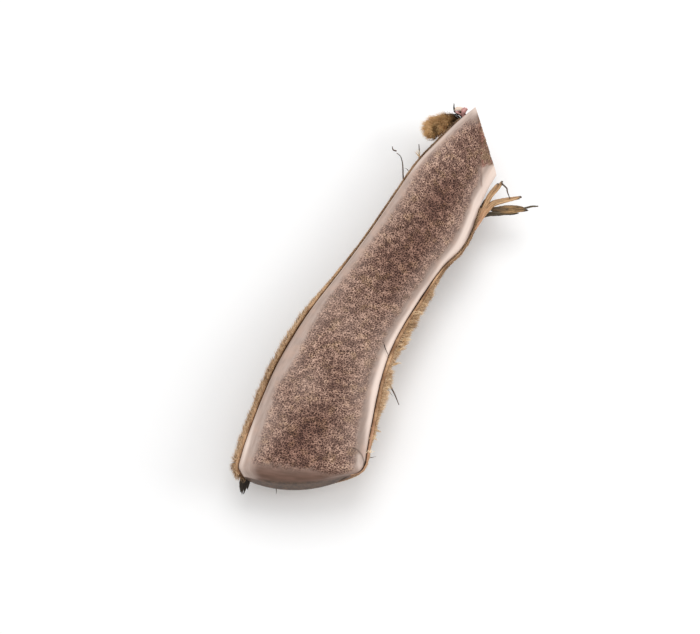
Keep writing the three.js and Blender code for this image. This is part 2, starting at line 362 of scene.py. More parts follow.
def mottled(tree, blotch_scale, grain_scale):
    """The blotches and the grain on a piece."""
    inputs = {"Vector": object_place(tree), "Blotch Scale": blotch_scale, "Grain Scale": grain_scale}
    return put(tree, "ShaderNodeGroup", inputs, node_tree=MOTTLE).outputs


# ---- Finishes ----

def bone_finish():
    """Sawn bone: a streaked compact rim, a spongy core, the stains on both, and painted highlight and painted
    shade on its edges and nose.
    """
    material, tree, shader = new_material("sawn bone", 0.55, 0.35)
    plan = vector_maths(tree, "MULTIPLY", chart_place(tree), UNROLLED)
    core, end_stain, stain_and_shade = attribute(tree, "core"), attribute(tree, "end_stain"), attribute(tree, "stain_and_shade")
    pore, wall = sponge_pattern(tree, plan)
    streak = noise(tree, vector_maths(tree, "MULTIPLY", plan, (1.0, 0.12, 1.0)), 0.9, 4.0, 0.65)
    cloud = noise(tree, plan, 0.16, 3.0)
    fleck = noise(tree, plan, 2.2, 2.0)
    tint = noise(tree, plan, 0.22, 3.0)
    blood = noise(tree, plan, 0.28, 2.0)
    smear = noise(tree, vector_maths(tree, "MULTIPLY", plan, (0.16, 1.0, 1.0)), 0.8, 3.0)
    patchy = noise(tree, object_place(tree), 600.0, 5.0, 0.75)

    compact = painted(
        tree, blend(tree, ramp(tree, streak, 0.3, 0.7), rgb(160, 139, 128), rgb(180, 160, 149)),
        (ramp(tree, cloud, 0.42, 0.7, 0.0, 0.7), rgb(188, 159, 143)),
        # painted shade in the grey band inside the right strip and round the tip
        (product(tree, attribute(tree, "shade"), 0.7), rgb(134, 115, 104)),
        # pale bone with painted highlight beside the edges and at the tip
        (attribute(tree, "pale_and_highlight"), rgb(231, 212, 200)),
    )
    spongy = painted(
        tree, blend(tree, ramp(tree, fleck, 0.3, 0.7), rgb(135, 101, 89), rgb(162, 126, 109)),
        (ramp(tree, tint, 0.5, 0.68), rgb(164, 130, 101)),
        (product(tree, wall, ramp(tree, fleck, 0.35, 0.6)), rgb(220, 184, 162)),
        (product(tree, pore, 0.88), rgb(66, 40, 32)),
    )
    darkness = product(tree, attribute(tree, "darkness"), 0.8)
    spongy = blend(tree, darkness, spongy, rgb(176, 152, 146), "MULTIPLY")
    # brown for the facet's stains and for the painted shade on the nose
    soil_and_shade = blend(tree, ramp(tree, smear, 0.35, 0.65), rgb(97, 71, 58), rgb(113, 84, 71))
    # the darkest painted shade, on the rolled nose and the lower end wall
    nose_end_shade = blend(tree, ramp(tree, patchy, 0.36, 0.64), rgb(46, 31, 19), rgb(94, 69, 48))
    colour = painted(
        tree, blend(tree, core, compact, spongy),
        (product(tree, end_stain, ramp(tree, blood, 0.6, 0.4, 0.1, 0.5)), rgb(150, 122, 82)),
        (product(tree, end_stain, ramp(tree, blood, 0.5, 0.62, 0.0, 0.45)), rgb(160, 88, 78)),
        (ramp(tree, stain_and_shade, 0.0, 0.6), soil_and_shade),
        (ramp(tree, stain_and_shade, 0.55, 1.0, 0.0, 0.88), nose_end_shade),
        (product(tree, attribute(tree, "crack"), 0.8), rgb(76, 58, 48)),
    )
    tree.links.new(colour, shader.inputs["Base Color"])
    tree.links.new(maths(tree, "ADD", 0.5, product(tree, core, 0.25)), shader.inputs["Roughness"])
    sunk, raised = product(tree, pore, core, -1.0), product(tree, streak, 0.35)
    tree.links.new(bump(tree, maths(tree, "ADD", sunk, raised), 0.5, 0.25), shader.inputs["Normal"])
    return material


def hide_finish():
    """Dried hide, brown on its outside; its cut edge is rosy on one side and darkened by painted shade on the
    other.
    """
    material, tree, shader = new_material("dried hide", 0.7, 0.3)
    spots = mottled(tree, 160.0, 1400.0)
    blush_and_shade = attribute(tree, "blush_and_shade")
    cut = painted(
        tree, blend(tree, spots["Blotch"], rgb(134, 94, 64), rgb(222, 180, 138)),
        (ramp(tree, blush_and_shade, 0.0, 1.0, 0.0, 0.65), rgb(222, 170, 138)),
        # painted shade on the upper left part of the cut edge, darkest further up
        (ramp(tree, blush_and_shade, 0.0, -1.0, 0.0, 0.6), rgb(92, 72, 54)),
        (ramp(tree, blush_and_shade, -1.0, -2.0, 0.0, 0.85), rgb(64, 48, 38)),
    )
    colour = painted(
        tree, blend(tree, spots["Blotch"], rgb(110, 76, 48), rgb(150, 108, 70)),
        (attribute(tree, "edge"), cut),
        (product(tree, spots["Grain"], 0.5), rgb(96, 68, 48)),
    )
    tree.links.new(colour, shader.inputs["Base Color"])
    tree.links.new(bump(tree, spots["Grain"], 0.5, 0.2), shader.inputs["Normal"])
    return material


def fur_finish(name, roots, middles, tips):
    """Hair coloured by its tone, the UV map's U, and along its length, the UV map's V."""
    material, tree, shader = new_material(name, 0.75, 0.15)
    tone, rise, _ = put(tree, "ShaderNodeSeparateXYZ", {0: chart_place(tree)}).outputs

    def tones(colours):
        node = put(tree, "ShaderNodeValToRGB", {0: tone})
        ends = node.color_ramp.elements
        while len(ends) < len(colours):
            ends.new(0.5)
        for index, colour in enumerate(colours):
            ends[index].position = index / (len(colours) - 1)
            ends[index].color = rgb(*colour)
        return node.outputs[0]

    colour = blend(tree, ramp(tree, rise, 0.05, 0.55), tones(roots), tones(middles))
    colour = blend(tree, ramp(tree, rise, 0.45, 1.0), colour, tones(tips))
    tree.links.new(colour, shader.inputs["Base Color"])
    return material


def shred_finish(name, dark, mid, light, root=None, roughness=0.6):
    """Dried shreds: streaks along the shred, another colour at the root and a dark tip."""
    material, tree, shader = new_material(name, roughness, 0.35)
    uv = chart_place(tree)
    along = put(tree, "ShaderNodeSeparateXYZ", {0: uv}).outputs[1]
    streaks = noise(tree, vector_maths(tree, "MULTIPLY", uv, (60.0, 3.0, 1.0)), 1.0, 4.0, 0.7)
    spots = mottled(tree, 420.0, 2600.0)
    colour = painted(
        tree, blend(tree, ramp(tree, streaks, 0.38, 0.64), dark, light),
        (product(tree, spots["Blotch"], 0.5), mid),
        (ramp(tree, along, 0.55, 0.1, 0.0, 0.7), root or mid),
        (attribute(tree, "tip"), rgb(44, 35, 30)),
    )
    tree.links.new(colour, shader.inputs["Base Color"])
    tree.links.new(bump(tree, streaks, 0.6, 0.2), shader.inputs["Normal"])
    return material


def hair_finish(name, dark, light):
    """Plain hair between two colours."""
    material, tree, shader = new_material(name, 0.5, 0.3)
    tint = noise(tree, object_place(tree), 300.0, 2.0)
    tree.links.new(blend(tree, ramp(tree, tint, 0.35, 0.65), dark, light), shader.inputs["Base Color"])
    return material


# ---- The sawn bone ----

FACE_COLUMNS, LEFT_COLUMNS, RIGHT_COLUMNS, BACK_COLUMNS = 112, 7, 12, 26
FACE_POINTS = LEFT_COLUMNS + FACE_COLUMNS + RIGHT_COLUMNS
NOSE_STATIONS, BEAM_STATIONS = 14, 524
# Each end's wall: rings, middle on the UV map, the way that its faces turn, its sponge and how dark it is
# painted, which on the lower wall is painted shade.
LOWER_WALL, UPPER_WALL = (8, 60, -1, 0.0, 0.97), (22, 20, 1, 1.0, 0.25)
WALL_CHART_TOP, WALL_CHART_MIDDLE = 192, 13
RIM_STEP, RIM_FADE, PALE_CORE = 0.7, 0.3, 0.25
NOSE_RIM = 5.4
# The line on the facet where its smooth part meets its porous part: a point, a slope and the slope's length.
POROUS_X, POROUS_Y, POROUS_SLOPE, POROUS_LENGTH = 16.3, 77.1, 0.96, 1.39
POROUS_SHARE = 0.85
# Where the painted shade on the rolled right edge lies along the beam, and how far it reaches.
SHADED_EDGE_PLACE, SHADED_EDGE_REACH = 141, 9
# Where the painted highlight along the left edge fades out, and how far along the beam it fades.
DULL_PLACE, DULL_REACH = 52, 13
# x, y, reach across, reach along and strength of the darker and the paler stretches of the core
DARK_PATCHES = [
    (9, 56, 8, 12, 0.95), (9, 34, 7, 12, 0.85), (2.5, 30, 5, 11, 0.2), (7, 21, 7, 11, 0.6),
    (15, 38, 6, 9, 0.35), (11, 73, 8, 10, 0.5), (10, 12, 6, 9, 0.35), (4, -19, 5, 8, 0.6),
    (6, -42, 10, 8, 0.95), (4, -56, 12, 8, 1.0), (-4, 51, 4, 5, 0.4), (9, -30, 4, 5, 0.5),
]
PALE_PATCHES = [
    (0, -3, 11, 8, 0.7), (10, -13, 5, 6, 0.45), (-3, -30, 5, 8, 1.0), (15, -25, 5, 8, 0.6),
    (-6, -50, 4, 9, 0.8), (-4, 58, 5, 10, 0.5), (4, 76, 5, 6, 0.3), (17, -42, 4, 8, 0.4), (-7, 8, 5, 9, 0.4),
]

# How the sawn face changes along the beam: millimetres from the lower end, then a width or a strength.
LEFT_RIM = [
    (0, 4.4), (6, 4.2), (12, 5), (20, 4.1), (28, 3.9), (35, 3.1), (45, 5), (60, 4.1), (75, 2.9), (90, 2.8),
    (105, 2.6), (120, 3.1), (140, 1.9), (155, 2.4), (172, 2.8),
]
RIGHT_RIM = [
    (0, 2.2), (8, 2.4), (14, 3), (22, 4), (45, 3.8), (60, 3.8), (75, 3.2), (105, 2.7), (120, 3.2), (135, 5),
    (172, 5.6),
]
LEFT_STRIP = [(0, 0.8), (6, 1.5), (12, 1.5), (20, 0.8), (28, 0.2), (130, 0.2), (138, 1.1), (172, 1.2)]
LEFT_STRIP_LIGHT = [
    (0, 0.4), (6, 0.7), (12, 1), (20, 0.75), (28, 0.2), (35, 0), (128, 0), (138, 0.55), (172, 0.4),
]
RIGHT_STRIP = [
    (0, 0), (9, 0.7), (20, 0.9), (30, 1.4), (45, 2.2), (60, 2.05), (75, 1.25), (90, 1.05), (105, 0.4),
    (120, 1.45), (135, 3.05), (150, 3.7), (160, 3), (172, 3.9),
]
RIGHT_STRIP_LIGHT = [
    (0, 0), (8, 0.3), (12, 0.3), (14, 0.1), (18, 0.3), (24, 0.65), (30, 0.75), (45, 0.92), (90, 0.92),
    (105, 0.75), (120, 0.75), (135, 0.85), (150, 0.78), (160, 0.62), (172, 0.75),
]


def profile(along, table):
    """The width or strength that a table gives along the beam."""
    return np.interp(along, *np.array(table, float).T)


def face_columns(half):
    """Distances across the face and the drop of its rolled edges, for sections of these half-widths."""
    turn_left = np.linspace(0, np.pi / 2, LEFT_COLUMNS, endpoint=False)
    turn_right = np.linspace(0, np.pi / 2, RIGHT_COLUMNS, endpoint=False)[::-1]
    flat = np.linspace(0, 1, FACE_COLUMNS)

    def full(values):
        return np.broadcast_to(values, (len(half), len(values)))

    left = -half[:, None] + full(LEFT_ROLL * (1 - np.cos(turn_left)))
    right = half[:, None] - full(RIGHT_ROLL * (1 - np.cos(turn_right)))
    middle = (-half + LEFT_ROLL)[:, None] * (1 - flat) + (half - RIGHT_ROLL)[:, None] * flat
    drop = np.concatenate([
        full(LEFT_ROLL * EDGE_ROLL_DROP * (1 - np.sin(turn_left))),
        full(flat * 0),
        full(RIGHT_ROLL * EDGE_ROLL_DROP * (1 - np.sin(turn_right))),
    ], axis=1)
    return np.concatenate([left, middle, right], axis=1), drop


def facet_drop(points):
    """How far the slanting facet lies under the sawn face, and how far past its line each point is."""
    (x0, y0), (x1, y1) = FACET_LINE
    across = (points[..., 0] - x0) * (y0 - y1) + (points[..., 1] - y0) * (x1 - x0)
    past = across / math.hypot(x1 - x0, y1 - y0)
    return np.maximum(0, past) * FACET_SLOPE, past


def line_distance(points, line):
    """Distance of plan points to a polyline."""
    best = np.full(points.shape[:-1], np.inf)
    for start, end in zip(np.array(line[:-1], float), np.array(line[1:], float)):
        reach, away = end - start, points[..., :2] - start
        along = np.clip((away @ reach) / (reach @ reach), 0, 1)
        best = np.minimum(best, np.linalg.norm(away - along[..., None] * reach, axis=-1))
    return best


def hump(distance, reach):
    """1 where a distance is nothing, fading over a reach."""
    return np.exp(-(distance / reach) ** 2)


def patches(points, spots):
    """Soft patches over the plan, added up."""
    total = 0
    for x, y, wide, long, strength in spots:
        across, upward = (points[..., 0] - x) / wide, (points[..., 1] - y) / long
        total = total + strength * np.exp(-(across ** 2) - upward ** 2)
    return np.clip(total, 0, 1)


def core_mask(along, from_left, from_right, from_tip, wander, pale):
    """How spongy the sawn face is: not at all in its rims, at the nose and at the tip."""
    past_left = from_left - profile(along, LEFT_RIM)
    past_right = from_right - profile(along, RIGHT_RIM)
    core = RIM_STEP * smooth(-0.9, 1.4, past_left + wander) + RIM_FADE * smooth(0.5, 6, past_left)
    core = core * (RIM_STEP * smooth(-0.7, 1.6, past_right + wander) + RIM_FADE * smooth(0.5, 7, past_right))
    core = core * smooth(-2.0, 2.4, along - NOSE_RIM + 2.2 * smooth(16, 6, from_right) + wander * 2.2)
    return core * (1 - PALE_CORE * pale) * smooth(4.5, 9.5, from_tip + wander)


def pale_and_highlight_mask(face, along, from_left, from_right, from_tip, shaded_edge):
    """The pale strips beside both edges and the pale tip, pale bone with painted highlight, a painted
    highlight along the rolled left edge, and the small pale lobe on the right of the nose.
    """
    wavy = ripple(from_right * 0, along, 7, 8) * 0.25
    right_strip = smooth(1.0, -0.6, from_right - profile(along, RIGHT_STRIP) - wavy)
    right_strip = right_strip * profile(along, RIGHT_STRIP_LIGHT)
    left_strip = smooth(0.9, -0.4, from_left - profile(along, LEFT_STRIP)) * profile(along, LEFT_STRIP_LIGHT)
    # painted highlight where the rolled left edge turns away from the lamps
    left_edge_highlight = smooth(0.7, 0.0, from_left) * (1 - hump(along - DULL_PLACE, DULL_REACH)) * 0.6
    tip = smooth(5, 1, from_tip) * 0.7
    lobe = hump(line_distance(face, LOBE_LINE), 0.8) * 0.45
    return np.maximum.reduce([right_strip * (1 - 0.75 * shaded_edge), left_strip, left_edge_highlight, tip, lobe])


def painted_shade_mask(along, from_left, from_right, from_tip):
    """Painted shade: the duller lines inside the right strip and round the tip."""
    beside = hump(from_right - profile(along, RIGHT_STRIP) - 2.2, 1.1) * smooth(6, 14, along)
    return np.maximum(beside, smooth(2, 4.5, from_tip) * smooth(10, 6, from_tip) * smooth(2, 5, from_left))


def nose_shade_mask(along, from_left, from_right, drop, core):
    """Painted shade on the rounded nose, darkest where its edge rolls over and turns away from the light."""
    inland = (0.1 + 0.9 * smooth(2, 9, from_left)) * (1 - 0.4 * smooth(12, 4, from_right))
    nose = 0.62 * smooth(12, 3, along) * inland * (1 - 0.5 * core)
    nose = np.maximum(nose, smooth(-0.6, 2.6, drop) * inland)
    return np.maximum(nose, smooth(2.0, 3.4, drop) * 0.95)


def face_masks(face, x, section, along, past):
    """The strength of each mark on the sawn face, from the distances to its edges and ends in millimetres."""
    from_left, from_right = x + section["half"], section["half"] - x
    from_tip = np.hypot(face[..., 0] - TIP[0], face[..., 1] - TIP[1])
    wander = ripple(from_left, along, 3.1, 3) * 0.4 + ripple(from_left, along, 1.2, 4) * 0.4
    # painted shade where the rolled right edge turns away from the light, near the upper end
    shaded_edge = smooth(1.7, 0.4, from_right) * hump(along - SHADED_EDGE_PLACE, SHADED_EDGE_REACH)
    pale = patches(face, PALE_PATCHES)
    core = core_mask(along, from_left, from_right, from_tip, wander, pale)
    pale_and_highlight = pale_and_highlight_mask(face, along, from_left, from_right, from_tip, shaded_edge)

    # The slanting facet at the upper end is smooth in one part and porous in the other.
    on_facet = smooth(0.2, 0.8, past)
    beyond = (face[..., 1] - POROUS_Y - POROUS_SLOPE * (face[..., 0] - POROUS_X)) / POROUS_LENGTH
    porous_end = smooth(-1.1, 0.9, beyond + wander) * POROUS_SHARE
    smooth_end = 1 - porous_end / POROUS_SHARE
    core = np.maximum(core * (1 - smooth(-1.6, 1.2, past) * smooth_end), porous_end * on_facet)
    pale_and_highlight = np.maximum(pale_and_highlight, on_facet * smooth_end * smooth(7, 2.5, from_right) * 0.5)
    speckle = smooth(0.1, 0.6, ripple(from_left, along, 1.1, 6) + 0.4 * ripple(from_left, along, 3, 7))
    facet_edge = hump(past - 0.4, 0.7) * smooth(110, 135, along) * 0.3
    stain_and_shade = (on_facet * porous_end * (0.05 + 0.35 * speckle) + facet_edge) * (1 - pale_and_highlight)

    # painted shade that darkens the nose towards its lower end and where it rolls over
    nose = nose_shade_mask(along, from_left, from_right, section["drop"], core)
    darkness = patches(face, DARK_PATCHES) - 0.8 * pale + 0.25 * ripple(from_left, along, 9, 5)
    return {
        "core": core,
        "pale_and_highlight": pale_and_highlight,
        "shade": painted_shade_mask(along, from_left, from_right, from_tip),
        "crack": hump(line_distance(face, CRACK_LINE), 0.26),
        "darkness": np.clip(darkness, 0, 1),
        "stain_and_shade": np.maximum.reduce([stain_and_shade, nose, 0.3 * shaded_edge]),
        "end_stain": on_facet * porous_end * smooth(3, 7, from_tip),
    }


def bone_chart(ring, from_left, along):
    """The bone's rings unrolled on the UV map: round the bone and along it, with the first column twice."""
    steps = np.concatenate([ring[:, :1] * 0, np.diff(ring, axis=1)], axis=1)
    around = np.cumsum(np.linalg.norm(steps, axis=-1), axis=1)
    whole = around[:, -1:] + np.linalg.norm(ring[:, -1:] - ring[:, :1], axis=-1)
    around = np.concatenate([around, whole], axis=1)
    around[:, :FACE_POINTS] = from_left
    return np.stack([around / UNROLLED[0], (along[:, :1] + around * 0) / UNROLLED[1]], -1)


def end_wall(section, outline, rim, first, rings, chart_x, way):
    """The wall across an end, in rings drawn in to its middle: points, faces, UV places and sponge."""
    count = len(rim)
    middle = (outline[:, 1].max() + outline[:, 1].min()) / 2
    outer_arc = np.concatenate([outline[FACE_POINTS - 1 :], outline[:1]])

    def drawn_in(share):
        return np.stack([outline[:, 0] * share, outline[:, 1] * share + middle * (1 - share)], -1)

    def chart(spots):
        upward = WALL_CHART_TOP + (spots[:, 1] - WALL_CHART_MIDDLE)
        return np.stack([chart_x + spots[:, 0], upward], -1) / UNROLLED[:2]

    points, faces, uv, sponge = [], [], [], []
    outer, outer_uv = rim, chart(drawn_in(1.0))
    for step in range(1, rings + 1):
        spots = drawn_in(1 - step / rings)
        last = step == rings
        size = 1 if last else count
        inner, inner_uv = first + np.arange(count) % size, chart(spots)
        corners = np.stack([outer, np.roll(outer, -1), np.roll(inner, -1), inner], -1)
        corner_uv = np.stack([outer_uv, np.roll(outer_uv, -1, 0), np.roll(inner_uv, -1, 0), inner_uv], 1)
        corner_count = 3 if last else 4
        faces += corners[:, :corner_count][:, ::way].tolist()
        uv.append(corner_uv[:, :corner_count][:, ::way].reshape(-1, 2))
        spots = spots[:size]
        points.append(points_in(section, spots[:, 0], spots[:, 1]))
        rimward = line_distance(spots, outer_arc) - 1.8 * smooth(0, 9, spots[:, 0])
        sponge.append(smooth(2.3, 3.3, rimward + ripple(spots[:, 0], spots[:, 1], 2, 12) * 0.6))
        outer, outer_uv = inner, inner_uv
        first += size
    return np.concatenate(points), faces, np.concatenate(uv), np.concatenate(sponge)


def make_bone():
    """The half beam: a sawn face with rolled edges, a half-oval back and a wall across each end."""
    turn = np.linspace(0, np.pi / 2, NOSE_STATIONS, endpoint=False)
    nose_shares = NOSE_ROLL_SHARE * (1 - np.cos(turn))
    shares = np.concatenate([nose_shares, np.linspace(NOSE_ROLL_SHARE, 1, BEAM_STATIONS)])
    flat = sections(shares)
    wide = {key: value[:, None] for key, value in flat.items()}
    x, drop = face_columns(flat["half"])
    along = shares[:, None] * BEAM_LENGTH + x * 0
    face = points_in(wide, x, FACE_HEIGHT - wide["drop"] - drop)
    slope, past = facet_drop(face)
    face[..., 2] -= slope
    back_x, back_z = back_points(wide, np.linspace(0, np.pi, BACK_COLUMNS)[None, 1:-1], 0)
    ring = np.concatenate([face, points_in(wide, back_x, back_z)], axis=1)
    rows, count = ring.shape[:2]

    masks = {}
    for name, mask in face_masks(face, x, wide, along, past).items():
        masks[name] = np.concatenate([mask, np.zeros_like(back_x)], axis=1)
    masks["stain_and_shade"][:, FACE_POINTS:] = 0.35 + 0.6 * smooth(6, 0, along[:, :1])
    values = {name: [mask.ravel()] for name, mask in masks.items()}
    points, faces = ring.reshape(-1, 3), grid_faces(rows, count).tolist()
    uv = grid_corners(bone_chart(ring, x + wide["half"], along)).reshape(-1, 2)
    for end, (rings, chart_x, way, spongy, darkening) in ((0, LOWER_WALL), (rows - 1, UPPER_WALL)):
        section = {key: value[end] for key, value in flat.items()}
        outline = np.stack([np.concatenate([x[end], back_x[end]]), ring[end, :, 2]], -1)
        rim = end * count + np.arange(count)
        wall, wall_faces, wall_uv, sponge = end_wall(section, outline, rim, len(points), rings, chart_x, way)
        sponge = sponge * spongy
        marks = {"core": sponge, "darkness": sponge * 0.35, "stain_and_shade": sponge * 0 + darkening}
        for name, parts in values.items():
            parts.append(marks.get(name, sponge * 0))
        points, faces, uv = np.concatenate([points, wall]), faces + wall_faces, np.concatenate([uv, wall_uv])
    masks = {name: np.concatenate(parts) for name, parts in values.items()}
    return mesh_object("sawn_bone", points, faces, uv, masks)


def applied(piece, tree, **inputs):
    """The piece with a geometry tree's result as its plain mesh."""
    modifier = piece.modifiers.new(tree.name, "NODES")
    modifier.node_group = tree
    for item in tree.interface.items_tree:
        if item.item_type == "SOCKET" and item.in_out == "INPUT" and item.name in inputs:
            modifier[item.identifier] = inputs[item.name]
    bpy.context.view_layer.update()
    graph = bpy.context.evaluated_depsgraph_get()
    evaluated = piece.evaluated_get(graph)
    mesh = bpy.data.meshes.new_from_object(evaluated, preserve_all_data_layers=True, depsgraph=graph)
    piece.modifiers.remove(modifier)
    old = piece.data
    piece.data = mesh
    bpy.data.meshes.remove(old)
    return piece


def pitting_tree():
    """Sinks the pores of the spongy core into the mesh."""
    tree, given, made = group_tree(
        "spongy pores", "GeometryNodeTree",
        [("Geometry", "NodeSocketGeometry", None), ("Pore Depth", "NodeSocketFloat", 0.0005),
         ("Wall Rise", "NodeSocketFloat", 0.0001), ("Finish", "NodeSocketMaterial", None)],
        [("Geometry", "NodeSocketGeometry")],
    )
    chart = named(tree, "OFBake", "FLOAT_VECTOR")
    pore, wall = sponge_pattern(tree, vector_maths(tree, "MULTIPLY", chart, UNROLLED))
    rise = product(tree, wall, given["Wall Rise"])
    sink = maths(tree, "SUBTRACT", rise, product(tree, pore, given["Pore Depth"]))
    normal = put(tree, "GeometryNodeInputNormal").outputs[0]
    offset = vector_maths(tree, "SCALE", normal, product(tree, sink, named(tree, "core")))
    moved = put(tree, "GeometryNodeSetPosition", {"Geometry": given["Geometry"], "Offset": offset}).outputs[0]
    inputs = {"Geometry": moved, "Material": given["Finish"]}
    tree.links.new(put(tree, "GeometryNodeSetMaterial", inputs).outputs[0], made["Geometry"])
    return tree


# ---- The hide and its fur ----

HIDE_STATIONS, HIDE_COLUMNS, HIDE_INNER = 230, 64, 24
# The gap between bone and hide beside the sawn face: millimetres from the lower end, then its width.
GAP_LEFT = [
    (0, 0.2), (20, 0.2), (45, 0.5), (60, 0.55), (75, 0.3), (105, 0.45), (120, 0.25), (150, 0.15), (158, 0.5),
    (172, 0.5),
]
GAP_RIGHT = [
    (0, 0.45), (12, 0.4), (20, 0.2), (45, 0.25), (60, 0.15), (90, 0.15), (105, 0.45), (120, 0.3), (130, 0.5),
    (138, 0.95), (148, 1),
]
LIP_TURN = 0.3
# The rounded upper edge of the hide: share of its thickness from the bone, and millimetres under the lip.
LIP_ROUND = [(0.97, 0.12), (0.8, 0.0), (0.45, 0.02), (0.15, 0.2)]
LIP_POINTS = len(LIP_ROUND)
LIP_DROP, LIP_DROP_INSIDE, LIP_DROP_FUR, LIP_SHOULDER = 0.75, 1.1, 1.0, 0.35
LOWEST_HIDE = 0.25
# Scales that turn the angle and the share along the beam into the coordinates of the hide's ripples.
TURN_SCALE, LENGTH_SCALE = 9, 165
LOWEST_HAIR, HIGHEST_HAIR = 0.03 * MM, (FACE_HEIGHT + 0.5) * MM
FUR_STRETCHES = {
    "fur_lower_end": (0.0, 0.22),
    "fur_lower": (0.22, 0.46),
    "fur_middle": (0.46, 0.72),
    "fur_upper": (0.72, 1.0),
}
FUR_ROWS, FUR_COLUMNS, FUR_LIP_COLUMNS = 240, 86, 4
HAIR_LENGTH = 2.6
PER_SQUARE_METRE = 1e6
TONE_LIMITS = {"Min": 0.03, "Max": 0.97}
RISE_SPAN, RISE_START, SIDE_SPAN = 0.96, 0.02, 0.02
GROWING_MARKS = ("tone", "rise", "side", "heading", "flow", "cover", "patch", "hair_length")


def hide_thickness(angle, along):
    """The hide without its hair: thin where its upper edges and the edge beside the lobe are worn."""
    left, right = np.maximum(0, -np.cos(angle)), np.maximum(0, np.cos(angle))
    worn_right = 0.5 * smooth(0.62, 0.76, along) + 0.5 * smooth(0.2, 0.06, along)
    worn = 0.6 * smooth(0.4, 0.62, along) * left**2 + worn_right * right
    start = 1 - 0.35 * smooth(0.1, 0.0, along) * right
    return (0.95 + 0.12 * ripple(angle * TURN_SCALE, along * 160, 3, 21)) * (1 - worn) * start


def hide_share(angle, along):
    """Where along the beam a point of the hide lies: the torn end is ragged and slanting."""
    left_share = (1 - np.cos(angle)) / 2
    end = SKIN_END_RIGHT + (SKIN_END_LEFT - SKIN_END_RIGHT) * left_share
    torn = smooth(0.9, 1.0, along)
    turn, start = angle * TURN_SCALE, along * 0
    ragged = (ripple(turn, start, 1.1, 22) + 0.5 * ripple(turn, start, 0.35, 23)) * 0.015 * torn
    return SKIN_START + (end - SKIN_START) * along + ragged - 0.01 * torn


def hide_surface(angle, along, distance):
    """A surface round the bone at a distance: its section, distance across and height."""
    section = sections(hide_share(angle, along))
    x, z = back_points(section, angle, distance)
    return section, x, np.maximum(z, LOWEST_HIDE)


def gap_to_bone(angle, along):
    """How far the dried hide stands off the bone: it varies where the hide ends beside the sawn face."""
    at = along * BEAM_LENGTH + 0 * angle
    beside = np.where(angle > np.pi / 2, profile(at, GAP_LEFT), profile(at, GAP_RIGHT))
    return SKIN_GAP + (beside - SKIN_GAP) * np.cos(angle) ** 4


def lip_round(angle, along, sign, lip, lip_inside):
    """The rounded edge of the hide beside the sawn face, from its outside to its inside."""
    angle = np.full((1, 1), angle)
    section = sections(hide_share(angle, along))
    gap = gap_to_bone(angle, along)
    reach = SKIN_GAP + hide_thickness(angle, along) - gap
    line = []
    for share, drop in LIP_ROUND:
        height = lip if share > 0.4 else (lip + lip_inside) / 2
        line.append(points_in(section, sign * (section["half"] + gap + reach * share), height - drop))
    return line


def hide_ends(rows, count, columns):
    """Faces and UV places of the walls that close both ends of the hide."""
    steps = np.round(np.linspace(0, HIDE_INNER - 1, HIDE_COLUMNS)).astype(int)
    matched = HIDE_COLUMNS + LIP_POINTS + HIDE_INNER - 1 - steps
    faces, uv = [], []
    for end, height in ((0, 0.0), (rows - 1, 1.0)):
        loops = []
        for i in range(HIDE_COLUMNS - 1):
            loop = [i, i + 1, matched[i + 1], matched[i]]
            loop = loop if matched[i] != matched[i + 1] else loop[:3]
            loops.append(loop)
            uv += [(columns[c], height) for c in loop]
        for start in (HIDE_COLUMNS - 1, count - LIP_POINTS - 1):
            loops.append([(start + c) % count for c in range(LIP_POINTS + 2)])
            uv += [(0.5, 0.5)] * (LIP_POINTS + 2)
        for loop in loops:
            loop = [int(end * count + c) for c in loop]
            faces.append(loop[::-1] if end else loop)
    return faces, uv


